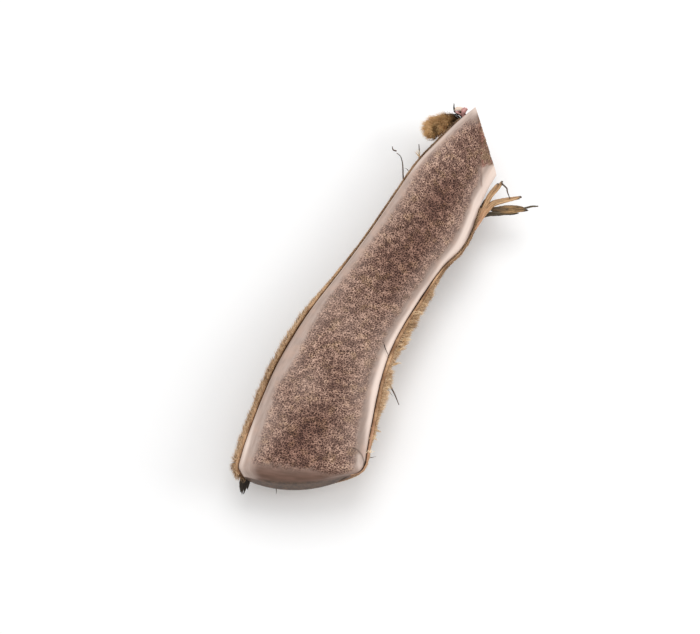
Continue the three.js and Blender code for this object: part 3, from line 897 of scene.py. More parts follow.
def make_hide():
    """The dried hide: a closed skin with an outside, an inside and rounded edges beside the sawn face."""
    along = (np.linspace(0, 1, HIDE_STATIONS) ** 1.1)[:, None]
    angle = np.linspace(0, np.pi, HIDE_COLUMNS)[None]
    inner_angle = np.linspace(np.pi, 0, HIDE_INNER)[None]
    section, x, z = hide_surface(angle, along, SKIN_GAP + hide_thickness(angle, along))
    lip = FACE_HEIGHT - section["drop"] - LIP_DROP + 0.3 * ripple(angle * 3, along * LENGTH_SCALE, 4, 25)
    outer = points_in(section, x, np.minimum(z, lip - LIP_SHOULDER))
    section, x, z = hide_surface(inner_angle, along, gap_to_bone(inner_angle, along))
    wavy = 0.25 * ripple(inner_angle * 3, along * LENGTH_SCALE, 3, 26)
    lip_inside = FACE_HEIGHT - section["drop"] - LIP_DROP_INSIDE + wavy
    inner = points_in(section, x, np.minimum(z, lip_inside))
    left = lip_round(np.pi, along, -1, lip[:, -1:], lip_inside[:, :1])
    right = lip_round(0, along, 1, lip[:, :1], lip_inside[:, -1:])[::-1]
    parts = [(outer, 0), (np.concatenate(left, axis=1), 1), (inner, 0), (np.concatenate(right, axis=1), 1)]
    ring = np.concatenate([part for part, _ in parts], axis=1)
    rows, count = ring.shape[:2]

    edge = np.concatenate([part[..., 0] * 0 + cut for part, cut in parts], axis=1)
    edge[:, [0, HIDE_COLUMNS - 1]] = 0.8
    edge = np.maximum(edge, smooth(0.985, 1.0, along))
    right_side = np.ones((1, count))
    right_side[:, :HIDE_COLUMNS] = smooth(0, 0.5, np.cos(angle))
    right_side[:, HIDE_COLUMNS : HIDE_COLUMNS + LIP_POINTS] = 0
    # above 0: the rosy lower right of the cut edge; below 0: painted shade on its upper left
    blush_and_shade = right_side * smooth(0.24, 0.12, along) - (1 - right_side) * smooth(0.48, 0.62, along)
    blush_and_shade = blush_and_shade - (1 - right_side) * smooth(0.84, 0.9, along)

    columns = np.linspace(0, 1, count + 1)
    chart = np.stack(np.broadcast_arrays(columns[None], along), -1)
    end_faces, end_uv = hide_ends(rows, count, columns)
    faces = grid_faces(rows, count)[:, TURNED].tolist() + end_faces
    uv = np.concatenate([grid_corners(chart)[:, TURNED].reshape(-1, 2), end_uv])
    masks = {"edge": edge.ravel(), "blush_and_shade": blush_and_shade.ravel()}
    return mesh_object("velvet_hide", ring.reshape(-1, 3), faces, uv, masks)


def fur_flow(points, section, angle, along, over_lip, near_right):
    """The way that hair lies: along the beam, back at the lower end and outwards over the lips."""
    flow = np.gradient(points, axis=0)
    flow /= np.linalg.norm(flow, axis=-1, keepdims=True) + TINY
    backward = smooth(0.05, 0.0, along) * smooth(2.3, 2.8, angle)
    flow = flow * (1 - 2.2 * backward)[..., None]
    sideways = section["across"] * np.sign(np.cos(angle))[..., None]
    outward = np.concatenate([sideways, flow[..., :1] * 0], axis=-1)
    flow = flow * (1 - 0.7 * near_right)[..., None]
    return flow + outward * (over_lip * 1.2 + near_right * 1.1)[..., None]


def fur_ground(stretch):
    """The surface that hair grows from along a stretch of the beam, with how thick and long it grows."""
    low, high = stretch
    along = np.linspace(low, high, int(FUR_ROWS * (high - low)) + 2)[:, None]
    angle = np.concatenate([
        np.linspace(-LIP_TURN, 0, FUR_LIP_COLUMNS)[:-1],
        np.linspace(0, np.pi, FUR_COLUMNS),
        np.linspace(np.pi, np.pi + LIP_TURN, FUR_LIP_COLUMNS)[1:],
    ])[None]
    turn, length_on = angle * TURN_SCALE, along * LENGTH_SCALE
    distance = SKIN_GAP + hide_thickness(angle, along) - 0.05
    section, x, z = hide_surface(np.clip(angle, 0, np.pi), along, distance)
    lip = FACE_HEIGHT - section["drop"] - LIP_DROP_FUR
    over_lip = np.clip(np.abs(angle - np.pi / 2) - np.pi / 2, 0, LIP_TURN) / LIP_TURN
    points = points_in(section, x - np.sign(np.cos(angle)) * over_lip * 0.85, np.minimum(z, lip))
    near_lip = smooth(0.75, 0.15, np.minimum(angle, np.pi - angle))
    left, right = np.maximum(0, -np.cos(angle)), np.maximum(0, np.cos(angle))
    flow = fur_flow(points, section, angle, along, over_lip, near_lip * right)

    worn_right = 0.8 * smooth(0.6, 0.76, along) + 0.6 * smooth(0.29, 0.21, along)
    worn_right = worn_right + 0.2 * smooth(0.16, 0.06, along)
    worn = 0.8 * smooth(0.3, 0.55, along) * left**1.5 + worn_right * right**2
    start = 1 - 0.75 * smooth(0.06, 0.0, along) * smooth(2.7, 2.2, angle)
    pressed = smooth(2.6, 0.6, points[..., 2])
    tufts = ripple(turn, length_on, 1.3, 31) * 0.5 + ripple(turn, length_on, 6, 32) * 0.3
    lip_tufts = ripple(angle * 3, length_on, 4.5, 35) + ripple(angle * 3, length_on, 1.1, 36)
    tufts = tufts + near_lip * right * lip_tufts * 0.7
    length = (HAIR_LENGTH + tufts) * (1 - worn) * start * (1 - 0.35 * pressed) * (1 - 0.55 * over_lip)
    bare_lip = over_lip * np.maximum(smooth(0.45, 0.6, along) * left, smooth(0.24, 0.1, along) * right)
    cover = (1 - 0.45 * worn) * (1 - 0.35 * pressed) * (1 + 1.2 * over_lip) * (1 - 0.9 * bare_lip)
    patch = ripple(turn, length_on, 11, 33) * 0.5 + ripple(angle * 12, along * 60, 2.5, 34) * 0.5
    patch = patch + 0.9 * near_lip + 0.5 * over_lip + 1.2 * near_lip * right * smooth(0.5, 0.1, along)
    masks = {"hair_length": length, "cover": cover, "patch": patch}
    masks = {name: (mask + 0 * points[..., 0]).ravel() for name, mask in masks.items()}
    masks["flow"] = flow.reshape(-1, 3)
    return points.reshape(-1, 3), grid_faces(*points.shape[:2], closed=False).tolist(), masks


def make_blade():
    """One tapering hair, one unit tall and one wide, bent a little to one side."""
    points = np.array([(-0.5, 0, 0), (0.5, 0, 0), (0.4, 0.1, 0.5), (-0.4, 0.1, 0.5), (0, 0.42, 0.94)])
    blade = mesh_object("hair_blade", points / MM - SHIFT, [(0, 1, 2, 3), (3, 2, 4)],
                        masks={"rise": points[:, 2], "side": points[:, 0]})
    blade.hide_render = True
    return blade


def xyz(tree, x, y, z):
    """A vector from three values."""
    return put(tree, "ShaderNodeCombineXYZ", {0: x, 1: y, 2: z}).outputs[0]


def stored(tree, geometry, name, value, kind="FLOAT", domain="POINT"):
    """The geometry with a value kept on it under a name."""
    inputs = {"Geometry": geometry, "Name": name, "Value": value}
    return put(tree, "GeometryNodeStoreNamedAttribute", inputs, data_type=kind, domain=domain).outputs[0]


def turned_hair(tree, roll):
    """Each hair's turn: up along its heading, its flat side to the flow, then rolled a little."""
    inputs = {"Vector": named(tree, "heading", "FLOAT_VECTOR")}
    turned = put(tree, "FunctionNodeAlignRotationToVector", inputs, axis="Z").outputs[0]
    inputs = {"Rotation": turned, "Vector": named(tree, "flow", "FLOAT_VECTOR")}
    turned = put(tree, "FunctionNodeAlignRotationToVector", inputs, axis="Y", pivot_axis="Z").outputs[0]
    roll = put(tree, "FunctionNodeEulerToRotation", {0: xyz(tree, 0.0, 0.0, roll)}).outputs[0]
    return put(tree, "FunctionNodeRotateRotation", {0: turned, 1: roll}, rotation_space="LOCAL").outputs[0]


def fur_tree(blade):
    """Hair standing on a ground mesh: it leans along the flow and gathers in soft clumps."""
    tree, given, made = group_tree(
        "velvet fur", "GeometryNodeTree",
        [("Geometry", "NodeSocketGeometry", None), ("Hairs per mm2", "NodeSocketFloat", 25.0),
         ("Hair Width", "NodeSocketFloat", 0.00016), ("Lean", "NodeSocketFloat", 1.0),
         ("Clumping", "NodeSocketFloat", 0.8), ("Seed", "NodeSocketInt", 1),
         ("Tone Shift", "NodeSocketFloat", 0.0), ("Finish", "NodeSocketMaterial", None)],
        [("Geometry", "NodeSocketGeometry")],
    )

    def drawn(low, high, salt):
        """A random value for each hair."""
        inputs = {2: low, 3: high, "Seed": maths(tree, "ADD", given["Seed"], float(salt))}
        return put(tree, "FunctionNodeRandomValue", inputs, data_type="FLOAT").outputs[1]

    density = product(tree, given["Hairs per mm2"], PER_SQUARE_METRE, named(tree, "cover"))
    spread = put(tree, "GeometryNodeDistributePointsOnFaces",
                 {"Mesh": given["Geometry"], "Density": density, "Seed": given["Seed"]},
                 distribute_method="RANDOM").outputs
    place = put(tree, "GeometryNodeInputPosition").outputs[0]
    wave = vector_maths(tree, "ADD", noise(tree, place, 420.0, 2.0, output=THREE_LEVELS), (-0.5, -0.5, -0.5))
    wave = vector_maths(tree, "SCALE", wave, given["Clumping"])
    jitter = put(tree, "FunctionNodeRandomValue",
                 {0: (-0.3, -0.3, -0.3), 1: (0.3, 0.3, 0.3), "Seed": given["Seed"]},
                 data_type="FLOAT_VECTOR").outputs[0]
    lean = vector_maths(tree, "SCALE", named(tree, "flow", "FLOAT_VECTOR"), given["Lean"])
    heading = vector_maths(tree, "ADD", lean, spread["Normal"], wave, jitter)
    points = stored(tree, spread["Points"], "heading", heading, "FLOAT_VECTOR")
    drift = product(tree, maths(tree, "SUBTRACT", noise(tree, place, 160.0, 2.0), 0.5), 0.9)
    patch = product(tree, named(tree, "patch"), 0.3)
    tone = maths(tree, "ADD", patch, drawn(0.24, 0.76, 5), drift, given["Tone Shift"])
    tone = put(tree, "ShaderNodeClamp", {"Value": tone, **TONE_LIMITS}).outputs[0]
    points = stored(tree, points, "tone", tone)

    tall = product(tree, named(tree, "hair_length"), MM, drawn(0.45, 1.3, 9))
    width = product(tree, given["Hair Width"], drawn(0.75, 1.25, 11))
    template = put(tree, "GeometryNodeObjectInfo", {"Object": blade}).outputs["Geometry"]
    turned, size = turned_hair(tree, drawn(-0.9, 0.9, 7)), xyz(tree, width, tall, tall)
    inputs = {"Points": points, "Instance": template, "Rotation": turned, "Scale": size}
    grown = put(tree, "GeometryNodeInstanceOnPoints", inputs).outputs[0]
    real = put(tree, "GeometryNodeRealizeInstances", {"Geometry": grown}).outputs[0]

    spot = put(tree, "GeometryNodeInputPosition").outputs[0]
    x, y, z = put(tree, "ShaderNodeSeparateXYZ", {0: spot}).outputs
    height = maths(tree, "MINIMUM", maths(tree, "MAXIMUM", z, LOWEST_HAIR), HIGHEST_HAIR)
    inputs = {"Geometry": real, "Position": xyz(tree, x, y, height)}
    real = put(tree, "GeometryNodeSetPosition", inputs).outputs[0]
    u = maths(tree, "ADD", named(tree, "tone"), product(tree, named(tree, "side"), SIDE_SPAN))
    v = maths(tree, "ADD", product(tree, named(tree, "rise"), RISE_SPAN), RISE_START)
    real = stored(tree, real, "OFBake", xyz(tree, u, v, 0.0), "FLOAT2", "CORNER")
    inputs = {"Geometry": real, "Material": given["Finish"]}
    tree.links.new(put(tree, "GeometryNodeSetMaterial", inputs).outputs[0], made["Geometry"])
    return tree


def grow(name, ground, tree, finish, seed, **inputs):
    """A piece of fur on its ground; it keeps its UV map and drops the marks that it was grown with."""
    points, faces, masks = ground
    piece = applied(mesh_object(name, points, faces, masks=masks), tree, Seed=seed, Finish=finish, **inputs)
    attributes = piece.data.attributes
    for mark in [a.name for a in attributes if a.name in GROWING_MARKS]:
        attributes.remove(attributes[mark])
    finish_piece(piece, "velvet_skin")


# ---- Shreds, flap, flesh and loose hairs ----

def ribbon(path, widths, thickness, twist=(0, 0), sides=14, stations=44, ragged=0.0, seed=1, fold=0.0):
    """A closed shred along a path: flat oval sections, turned about the path and frayed along their edges."""
    steps = np.linspace(0, 1, stations)
    line = by_length(spline(path, 600), steps)
    tangent = np.gradient(line, axis=0)
    tangent /= np.linalg.norm(tangent, axis=-1, keepdims=True)
    side = np.cross(tangent, [0, 0, 1.0])
    side /= np.linalg.norm(side, axis=-1, keepdims=True)
    over = np.cross(side, tangent)
    turn = np.radians(np.interp(steps, np.linspace(0, 1, len(twist)), twist))[:, None]
    side, over = side * np.cos(turn) + over * np.sin(turn), over * np.cos(turn) - side * np.sin(turn)
    half = np.interp(steps, np.linspace(0, 1, len(widths)), widths)[:, None]
    deep = np.minimum(thickness / 2, half * 0.9) * np.ones_like(half)
    around = np.linspace(0, 2 * np.pi, sides, endpoint=False)[None]
    frayed = 1 + ragged * ripple(around * 2 + 20, steps[:, None] * 60, 1.2, seed)
    uneven = 1 + 0.3 * ripple(around + 9, steps[:, None] * 40, 1.5, seed + 1)
    out = np.cos(around) * half * frayed
    up = np.sin(around) * deep * uneven + fold * (np.cos(around) ** 2) * half
    ring = line[:, None] + side[:, None] * out[..., None] + over[:, None] * up[..., None]

    points = np.concatenate([ring.reshape(-1, 3), line[:1], line[-1:]])
    columns = np.linspace(0, 1, sides + 1)
    chart = np.stack(np.broadcast_arrays(columns[None], steps[:, None]), -1)
    faces = grid_faces(stations, sides)[:, TURNED].tolist()
    uv = grid_corners(chart)[:, TURNED].reshape(-1, 2).tolist()
    first, last, top = len(points) - 2, len(points) - 1, (stations - 1) * sides
    for side_point in range(sides):
        beside = (side_point + 1) % sides
        left, right = columns[side_point], columns[side_point + 1]
        faces += [[side_point, beside, first], [top + beside, top + side_point, last]]
        uv += [(left, 0), (right, 0), (0.5, 0.01), (right, 1), (left, 1), (0.5, 0.99)]
    tip = np.concatenate([np.repeat(steps, sides), [0, 1]])
    return points, faces, np.array(uv), tip


DARK_TIP, NO_DARK_TIP = (0.8, 1.0), (2.0, 3.0)  # shares of a shred's length; beyond 1 nothing darkens
CHART_MARGIN = 0.04
STRAND_SPREAD = 0.62


def joined(name, parts, material, dark_tip=DARK_TIP):
    """Several closed shreds as one piece, side by side on its UV map."""
    points, faces, uv, tips, start = [], [], [], [], 0
    for index, (part_points, part_faces, part_uv, tip) in enumerate(parts):
        points.append(part_points)
        faces += [[start + i for i in face] for face in part_faces]
        u = (index + CHART_MARGIN + (1 - 2 * CHART_MARGIN) * part_uv[:, 0]) / len(parts)
        uv.append(np.stack([u, part_uv[:, 1]], -1))
        tips.append(tip)
        start += len(part_points)
    masks = {"tip": smooth(*dark_tip, np.concatenate(tips))}
    piece = mesh_object(name, np.concatenate(points), faces, np.concatenate(uv), masks)
    finish_piece(piece, "velvet_skin", material)


def hair(path, thick=0.16, end=0.03):
    """One loose hair along a path."""
    return ribbon(path, [thick, thick * 0.8, end], thick * 2, sides=5, stations=16)


def bundle(path, widths, strands, thickness, seed, **settings):
    """A shred that is split lengthwise into strands, each of its own length and height."""
    random = np.random.default_rng(seed)
    path, widths = np.array(path, float), np.array(widths, float)
    heading = np.gradient(path[:, :2], axis=0)
    aside = np.stack([heading[:, 1], -heading[:, 0]], -1) / np.linalg.norm(heading, axis=-1)[:, None]
    reach = np.interp(np.linspace(0, 1, len(path)), np.linspace(0, 1, len(widths)), widths)
    parts = []
    for offset in np.linspace(-1, 1, strands):
        strand = path.copy()
        strand[:, :2] += aside * (offset * STRAND_SPREAD * reach)[:, None]
        strand[1:] += random.normal(0, 0.1, (len(path) - 1, 3))
        strand[-1] -= (strand[-1] - strand[-2]) * random.uniform(0, 0.5) * abs(offset)
        strand[:, 2] += random.uniform(-0.5, 0.5) * thickness + 0.25 * thickness * (1 - offset**2)
        strand_seed = int(random.integers(1, 90))
        parts.append(ribbon(strand, widths * (1.25 / strands + 0.12), thickness, seed=strand_seed, **settings))
    return parts


STRIPS = [
    dict(path=[(25.5, 55, 15.3), (25.8, 61, 15.8), (25.6, 66.5, 16.2), (25.7, 70.2, 16.3), (26.5, 74.2, 16.4),
               (27.4, 77.8, 16.5)],
         widths=[0.5, 0.6, 0.8, 1.0, 1.0, 0.7], strands=3, thickness=0.45, twist=(30, 20, 5, 20), ragged=0.16,
         seed=41),
    dict(path=[(26.0, 55, 14.9), (26.5, 61, 15.3), (26.8, 64.6, 15.6), (28.2, 68.0, 15.8), (32.2, 71.4, 16.0),
               (36.7, 74.9, 16.2)],
         widths=[0.5, 0.8, 1.15, 1.15, 0.95, 0.55], strands=3, thickness=0.5, twist=(35, 20, -10, 10),
         ragged=0.15, seed=43),
]
DARK_STRIP = dict(
    path=[(27.4, 65.7, 14.6), (29.6, 66.4, 14.7), (32.6, 67.8, 14.8), (35.6, 69.2, 14.9), (38.5, 70.6, 15.0),
          (41.0, 71.5, 15.0)],
    widths=[0.4, 1.15, 1.8, 2.0, 1.5, 0.5], strands=7, thickness=0.6, twist=(10, -5, 15, 0), ragged=0.2,
    seed=45)
DARK_STRANDS = [
    dict(path=[(26.3, 61.3, 14.0), (27.0, 62.8, 14.0), (28.6, 64.2, 14.1), (30.9, 65.4, 14.2),
               (33.4, 66.8, 14.3), (36.2, 68.0, 14.3), (38.6, 69.3, 14.4)],
         widths=[0.5, 0.8, 0.9, 0.95, 0.9, 0.75, 0.3], strands=4, thickness=0.6, ragged=0.3, seed=47),
    dict(path=[(38.6, 70.5, 14.9), (40.7, 72.2, 15.1), (42.3, 73.4, 15.2), (44.2, 74.7, 15.2)],
         widths=[0.34, 0.3, 0.28, 0.16], strands=1, thickness=0.5, ragged=0.25, seed=49),
    dict(path=[(25.4, 60.0, 15.2), (25.3, 62.8, 15.5), (25.2, 65.4, 15.8), (25.1, 67.8, 16.0),
               (25.6, 70.0, 16.0)],
         widths=[0.35, 0.5, 0.55, 0.5, 0.2], strands=1, thickness=0.6, ragged=0.25, seed=52),
    dict(path=[(38.2, 69.6, 14.8), (39.8, 70.5, 14.9), (41.4, 71.3, 14.9)],
         widths=[0.4, 0.34, 0.12], strands=1, thickness=0.5, ragged=0.25, seed=50),
]
FLAP_SKIN = dict(
    path=[(2.4, 93.2, 12.0), (1.0, 95.2, 13.4), (-1.4, 94.0, 14.7), (-3.9, 91.0, 15.8), (-6, 88, 16.2),
          (-7.4, 86, 15.6)],
    widths=[1.0, 1.4, 1.7, 2.5, 3.0, 2.2], thickness=1.7, twist=(20, 10, 0, -10), ragged=0.1, seed=51,
    fold=-0.18)
FLAP_SHRINK, FLAP_SIDES, FLAP_STATIONS = 0.92, 20, 40
DARK_SPOT = (-4.9, 87.6)
FLESH_SHREDS = [
    dict(path=[(2.8, 96.4, 13.0), (1.4, 98.2, 15.6), (1.5, 99.2, 16.8), (2.1, 100.4, 17.3)],
         widths=[0.6, 0.7, 1.0, 0.5], thickness=1.2, ragged=0.35, seed=61),
    dict(path=[(1.2, 98.4, 16.0), (0.8, 99.3, 16.8), (1.3, 100.3, 17.4)],
         widths=[0.4, 0.6, 0.3], thickness=0.8, ragged=0.35, seed=63),
    dict(path=[(3.0, 97.4, 13.0), (1.2, 98.4, 15.2), (-0.6, 98.0, 16.0), (-1.6, 97.4, 16.2)],
         widths=[1.0, 1.2, 1.0, 0.4], thickness=0.7, ragged=0.3, seed=62),
]
FAT_SHRED = dict(
    path=[(1.6, 99.3, 15.6), (0.4, 99.6, 16.4), (-0.9, 99.2, 16.8), (-1.8, 98.4, 16.8), (-2.0, 97.7, 16.5)],
    widths=[0.5, 0.8, 0.9, 0.8, 0.3], thickness=0.8, ragged=0.25, seed=65)
SINEW_FORM = dict(widths=[0.35, 0.3, 0.14], thickness=0.4, ragged=0.3)
LOCK_FORM = dict(widths=[0.75, 0.65, 0.4, 0.1], thickness=0.9, ragged=0.3)
SINEW_SEED, LOCK_SEED = 80, 70
LOOSE_HAIRS = [
    [(-1.2, 97.3, 16.0), (-2.3, 97.7, 16.6), (-3.0, 98.6, 17.4), (-3.2, 99.8, 18.0)],
    [(-0.4, 97.0, 16.2), (-2.9, 95.3, 17.0), (-4.9, 93.9, 17.2), (-7.0, 92.9, 17.0)],
    [(-3.7, 84.1, 15.2), (-4.7, 82.6, 15.4), (-6.1, 81.8, 15.6)],
    [(-6.6, 65.6, 16.5), (-7.8, 66.1, 17.2), (-8.7, 65.8, 17.4)],
    [(21.4, -16.0, 14.0), (24.4, -18.0, 15.0), (27.0, -19.6, 15.5)],
    [(15.4, -3.5, 20.0), (17.3, -5.7, 20.5), (19.1, -7.3, 20.3), (20.6, -8.3, 18.2)],
    [(28.2, -45.4, 15.2), (30.2, -43.8, 15.2), (31.4, -42.9, 15.2)],
    [(24.6, -35.6, 15.0), (26.4, -33.5, 15.2), (28.0, -32.4, 15.2)],
    [(3.2, -67.6, 10.6), (4.0, -68.8, 9.7), (4.3, -69.8, 8.7)],
]
THICK_HAIRS = [
    [(21.6, -14.0, 14.2), (25.4, -17.0, 15.2), (27.8, -19.1, 15.7), (30.5, -21.8, 16.2)],
    [(-5.6, 58.6, 16.6), (-7.8, 62.6, 17.3), (-10.2, 67.2, 17.6), (-12.3, 69.7, 17.8), (-14.2, 70.2, 18.0)],
    [(-14.6, 71.0, 18.0), (-16.0, 70.9, 18.0), (-16.9, 72.0, 18.0)],
    [(-5.6, 72.6, 16.2), (-6.8, 75.2, 17.0), (-8.2, 77.8, 17.4)],
    [(28.0, 76.4, 16.9), (30.2, 75.5, 16.9), (31.0, 74.3, 16.8), (33.1, 72.2, 16.4)],
]
TUFT_HAIRS = [
    [(-8.2, -69.8, 12.6), (-8.1, -72.1, 11.8), (-7.6, -73.6, 10.4), (-7.0, -75.0, 9.4)],
    [(-8.8, -69.8, 12.4), (-8.6, -72.2, 11.4), (-8.0, -73.9, 10.0), (-7.5, -74.8, 9.4)],
    [(-7.2, -69.9, 12.2), (-6.6, -72.3, 11.2), (-6.4, -73.8, 9.9), (-6.3, -75.0, 9.2)],
    [(-6.6, -70.0, 12.2), (-6.0, -71.9, 11.2), (-5.6, -73.0, 10.2)],
    [(-7.8, -69.9, 12.4), (-7.4, -72.5, 11.2), (-7.0, -74.4, 9.7), (-6.7, -75.3, 9.2)],
]
SINEWS = [
    [(3.2, 95.9, 13.0), (1.2, 97.3, 15.2), (-0.6, 97.0, 16.2), (-1.9, 97.2, 16.6)],
    [(2.8, 97.6, 14.0), (1.0, 98.2, 15.8), (-0.4, 98.0, 16.5)],
    [(2.6, 95.6, 12.8), (0.4, 96.7, 15.0), (-1.6, 96.4, 16.0), (-3.0, 95.5, 16.4)],
    [(2.6, 98.9, 14.6), (1.4, 98.7, 16.2), (0.2, 98.3, 16.6)],
    [(-1.7, 97.2, 16.4), (-2.6, 98.4, 17.0), (-3.4, 100.0, 17.6)],
]
# Root, tip and number of hairs of the pale tufts that stand out beside the right edge.
LIP_TUFTS = [
    ((20.5, 11.8, 18.9), (23.1, 14.2, 18.4), 7), ((20.2, 8.2, 18.9), (22.2, 10, 18.4), 6),
    ((20.7, 4.3, 18.9), (22.9, 5.9, 18.4), 7), ((21, 0.4, 18.9), (24.2, 2.8, 18.4), 9),
    ((21, -1.6, 18.9), (24, 0.6, 18.4), 8), ((21.2, -3.8, 18.9), (23.5, -1.2, 18.4), 7),
    ((22, -9.8, 18.9), (24.3, -7.6, 18.4), 6), ((22.2, -15.8, 18.9), (24.3, -14.4, 18.4), 7),
    ((23, -19.2, 18.9), (25.1, -17.6, 18.4), 7), ((26.2, -35.5, 18.9), (28.9, -34.6, 18.4), 8),
    ((27, -38.5, 18.9), (29.1, -37, 18.4), 8), ((28.2, -43.8, 18.9), (30.1, -42.2, 18.4), 5),
    ((-5.6, 73, 16.6), (-8, 74.6, 16.9), 6),
]


def tuft(root, tip, count, seed):
    """Hairs that leave one place together and spread towards their tips."""
    random = np.random.default_rng(seed)
    root, tip = np.array(root, float), np.array(tip, float)
    paths = []
    for _ in range(count):
        start = root + random.normal(0, 0.35, 3)
        end = root + (tip - root) * random.uniform(0.7, 1.1) + random.normal(0, 0.45, 3)
        bend = (start + end) / 2 + random.normal(0, 0.2, 3) + (0, 0, 0.25)
        paths.append([start, bend, end])
    return paths


def flap_ground(flap):
    """The furry outside of the curled flap."""
    slimmer = {**flap, "thickness": flap["thickness"] * FLAP_SHRINK}
    points, faces, _, tip = ribbon(**slimmer, sides=FLAP_SIDES, stations=FLAP_STATIONS)
    ring = points[: FLAP_STATIONS * FLAP_SIDES].reshape(FLAP_STATIONS, FLAP_SIDES, 3)
    flow = np.gradient(ring, axis=0)
    flow /= np.linalg.norm(flow, axis=-1, keepdims=True) + TINY
    flow = np.concatenate([flow.reshape(-1, 3), flow[0, :1], flow[-1, :1]])
    x, y = points[:, 0], points[:, 1]
    spot = hump(np.hypot(x - DARK_SPOT[0], y - DARK_SPOT[1]), 1.3)
    patch = 3.0 * smooth(0.32, 0.68, tip) - 2.0 - 3.6 * spot + 1.3 * ripple(x + 40, y * 0.5, 1.0, 37)
    patch = patch + 0.8 * smooth(-6.5, -8.5, x) - 0.9 * smooth(87.5, 84.5, y)
    # painted shade on the fur close to the bone
    patch = patch - 1.1 * smooth(-3.5, -0.5, x)
    length = 3.0 * (0.5 + 0.5 * smooth(0.15, 0.5, tip))
    masks = {"hair_length": length, "cover": smooth(0.1, 0.3, tip), "patch": patch, "flow": flow}
    return points, faces, masks


# ---- Everything made ----

BONE, HIDE = bone_finish(), hide_finish()
FUR = fur_finish("velvet fur",
                 [(78, 56, 40), (102, 76, 54), (130, 98, 68), (152, 118, 82)],
                 [(108, 80, 58), (148, 114, 84), (182, 146, 110), (208, 172, 134)],
                 [(140, 110, 82), (184, 150, 116), (220, 190, 154), (244, 222, 190)])
GOLD_FUR = fur_finish("golden fur",
                      [(44, 33, 22), (112, 78, 44), (164, 116, 66)],
                      [(66, 50, 30), (172, 130, 82), (224, 180, 124)],
                      [(88, 70, 46), (208, 167, 114), (246, 216, 168)])
STRIP = shred_finish("torn hide", rgb(112, 84, 58), rgb(190, 146, 104), rgb(222, 182, 136), rgb(206, 158, 126))
OLIVE = shred_finish("dark torn hide", rgb(40, 32, 22), rgb(106, 80, 50), rgb(186, 146, 98), rgb(60, 48, 36))
FLESH = shred_finish("dried flesh", rgb(176, 100, 100), rgb(214, 152, 148), rgb(240, 206, 196), roughness=0.4)
CREAM = shred_finish("dried fat", rgb(216, 184, 160), rgb(238, 214, 194), rgb(250, 236, 222), roughness=0.45)
SHADE = shred_finish("dark dried strands", rgb(38, 32, 26), rgb(70, 60, 46), rgb(122, 106, 82), roughness=0.75)
LOCK = shred_finish("matted lock", rgb(24, 18, 14), rgb(40, 31, 24), rgb(66, 54, 40), roughness=0.8)
HAIR = hair_finish("loose hair", rgb(38, 28, 24), rgb(86, 64, 50))
PALE_HAIR = hair_finish("pale hair", rgb(196, 158, 114), rgb(246, 224, 190))
PITTING = {"Pore Depth": 0.45 * MM, "Wall Rise": 0.06 * MM}
VELVET = {"Hairs per mm2": 24.0, "Hair Width": 0.17 * MM, "Lean": 0.6, "Clumping": 1.3}
FLAP_FUR = {"Hairs per mm2": 90.0, "Hair Width": 0.12 * MM, "Lean": 0.35, "Clumping": 1.9, "Tone Shift": 0.22}
FLAP_SEED = 9

bone = applied(make_bone(), pitting_tree(), Finish=BONE, **PITTING)
finish_piece(bone, "antler_bone")
finish_piece(make_hide(), "velvet_skin", HIDE)

blade = make_blade()
fur = fur_tree(blade)
for seed, (name, stretch) in enumerate(FUR_STRETCHES.items(), 1):
    grow(name, fur_ground(stretch), fur, FUR, seed, **VELVET)

joined("torn_strips", [part for strip in STRIPS for part in bundle(**strip)], STRIP, (0.93, 1.0))
joined("dark_strip", bundle(**DARK_STRIP), OLIVE, (0.86, 1.0))
joined("dark_strands", [part for strand in DARK_STRANDS for part in bundle(**strand)], SHADE, NO_DARK_TIP)
joined("curled_flap", [ribbon(**FLAP_SKIN, stations=50)], OLIVE, NO_DARK_TIP)
grow("flap_fur", flap_ground(FLAP_SKIN), fur, GOLD_FUR, FLAP_SEED, **FLAP_FUR)
joined("dried_flesh", [ribbon(**shred) for shred in FLESH_SHREDS], FLESH, NO_DARK_TIP)
joined("dried_fat", [ribbon(**FAT_SHRED)], CREAM, NO_DARK_TIP)
joined("sinews", [ribbon(path, seed=SINEW_SEED + i, **SINEW_FORM) for i, path in enumerate(SINEWS)], LOCK)
lock = [ribbon(path, seed=LOCK_SEED + i, **LOCK_FORM) for i, path in enumerate(TUFT_HAIRS)]
joined("matted_lock", lock, LOCK)
thick_hairs = [hair(path, 0.34, 0.14) for path in THICK_HAIRS]
joined("loose_hairs", [hair(path) for path in LOOSE_HAIRS] + thick_hairs, HAIR, NO_DARK_TIP)
pale_hairs = [hair(path, 0.15, 0.06) for seed, spot in enumerate(LIP_TUFTS) for path in tuft(*spot, seed)]
joined("lip_tufts", pale_hairs, PALE_HAIR, NO_DARK_TIP)

fur_template = blade.data
bpy.data.objects.remove(blade)
bpy.data.meshes.remove(fur_template)

# ---- The studio ----

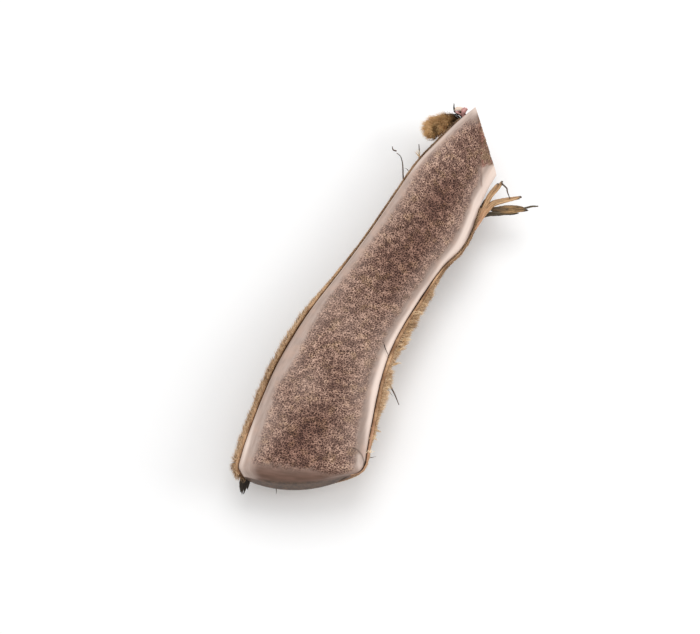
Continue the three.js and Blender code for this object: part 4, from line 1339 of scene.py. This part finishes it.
FLOOR_REACH = 3
floor_mesh = bpy.data.meshes.new("studio_floor")
floor_corners = [(x * FLOOR_REACH, y * FLOOR_REACH, 0) for x, y in ((-1, -1), (1, -1), (1, 1), (-1, 1))]
floor_mesh.from_pydata(floor_corners, [], [(0, 1, 2, 3)])
floor = bpy.data.objects.new("studio_floor", floor_mesh)
bpy.context.scene.collection.objects.link(floor)
paper, _, paper_shader = new_material("studio paper", 0.9, 0.1)
paper_shader.inputs["Base Color"].default_value = (0.95, 0.95, 0.95, 1)
floor_mesh.materials.append(paper)

world = bpy.data.worlds.new("studio")
bpy.context.scene.world = world
world.use_nodes = True
sky = world.node_tree.nodes["Background"]
sky.inputs["Color"].default_value = (1, 1, 1, 1)
sky.inputs["Strength"].default_value = 0.8


def soft_light(name, place, target, size, power):
    """A square softbox that faces a target."""
    lamp = bpy.data.lights.new(name, "AREA")
    lamp.size, lamp.energy = size, power
    light = bpy.data.objects.new(name, lamp)
    light.location = place
    light.rotation_euler = (Vector(target) - Vector(place)).to_track_quat("-Z", "Y").to_euler()
    bpy.context.scene.collection.objects.link(light)


soft_light("overhead softbox", (-0.2, 0.42, 0.85), (0, 0, 0), 0.6, 2.6)
soft_light("side softbox", (0.68, 0.3, 0.42), (0, 0, 0.01), 0.5, 2.4)

AZIMUTH, ELEVATION, LENS, SENSOR, DISTANCE = math.radians(26), math.radians(68), 85, 36, 0.6115
camera_data = bpy.data.cameras.new("camera")
camera_data.lens, camera_data.sensor_width = LENS, SENSOR
camera_data.clip_start = 0.01
camera = bpy.data.objects.new("camera", camera_data)
bpy.context.scene.collection.objects.link(camera)
level = math.cos(ELEVATION)
back_ray = Vector((math.sin(AZIMUTH) * level, -math.cos(AZIMUTH) * level, math.sin(ELEVATION)))
target = Vector(((np.array([0, 0, FACE_HEIGHT]) + SHIFT) * MM).tolist())
camera.location = target + back_ray * DISTANCE
camera.rotation_euler = (-back_ray).to_track_quat("-Z", "Y").to_euler()
bpy.context.scene.camera = camera
bpy.context.scene.view_settings.view_transform = "Standard"
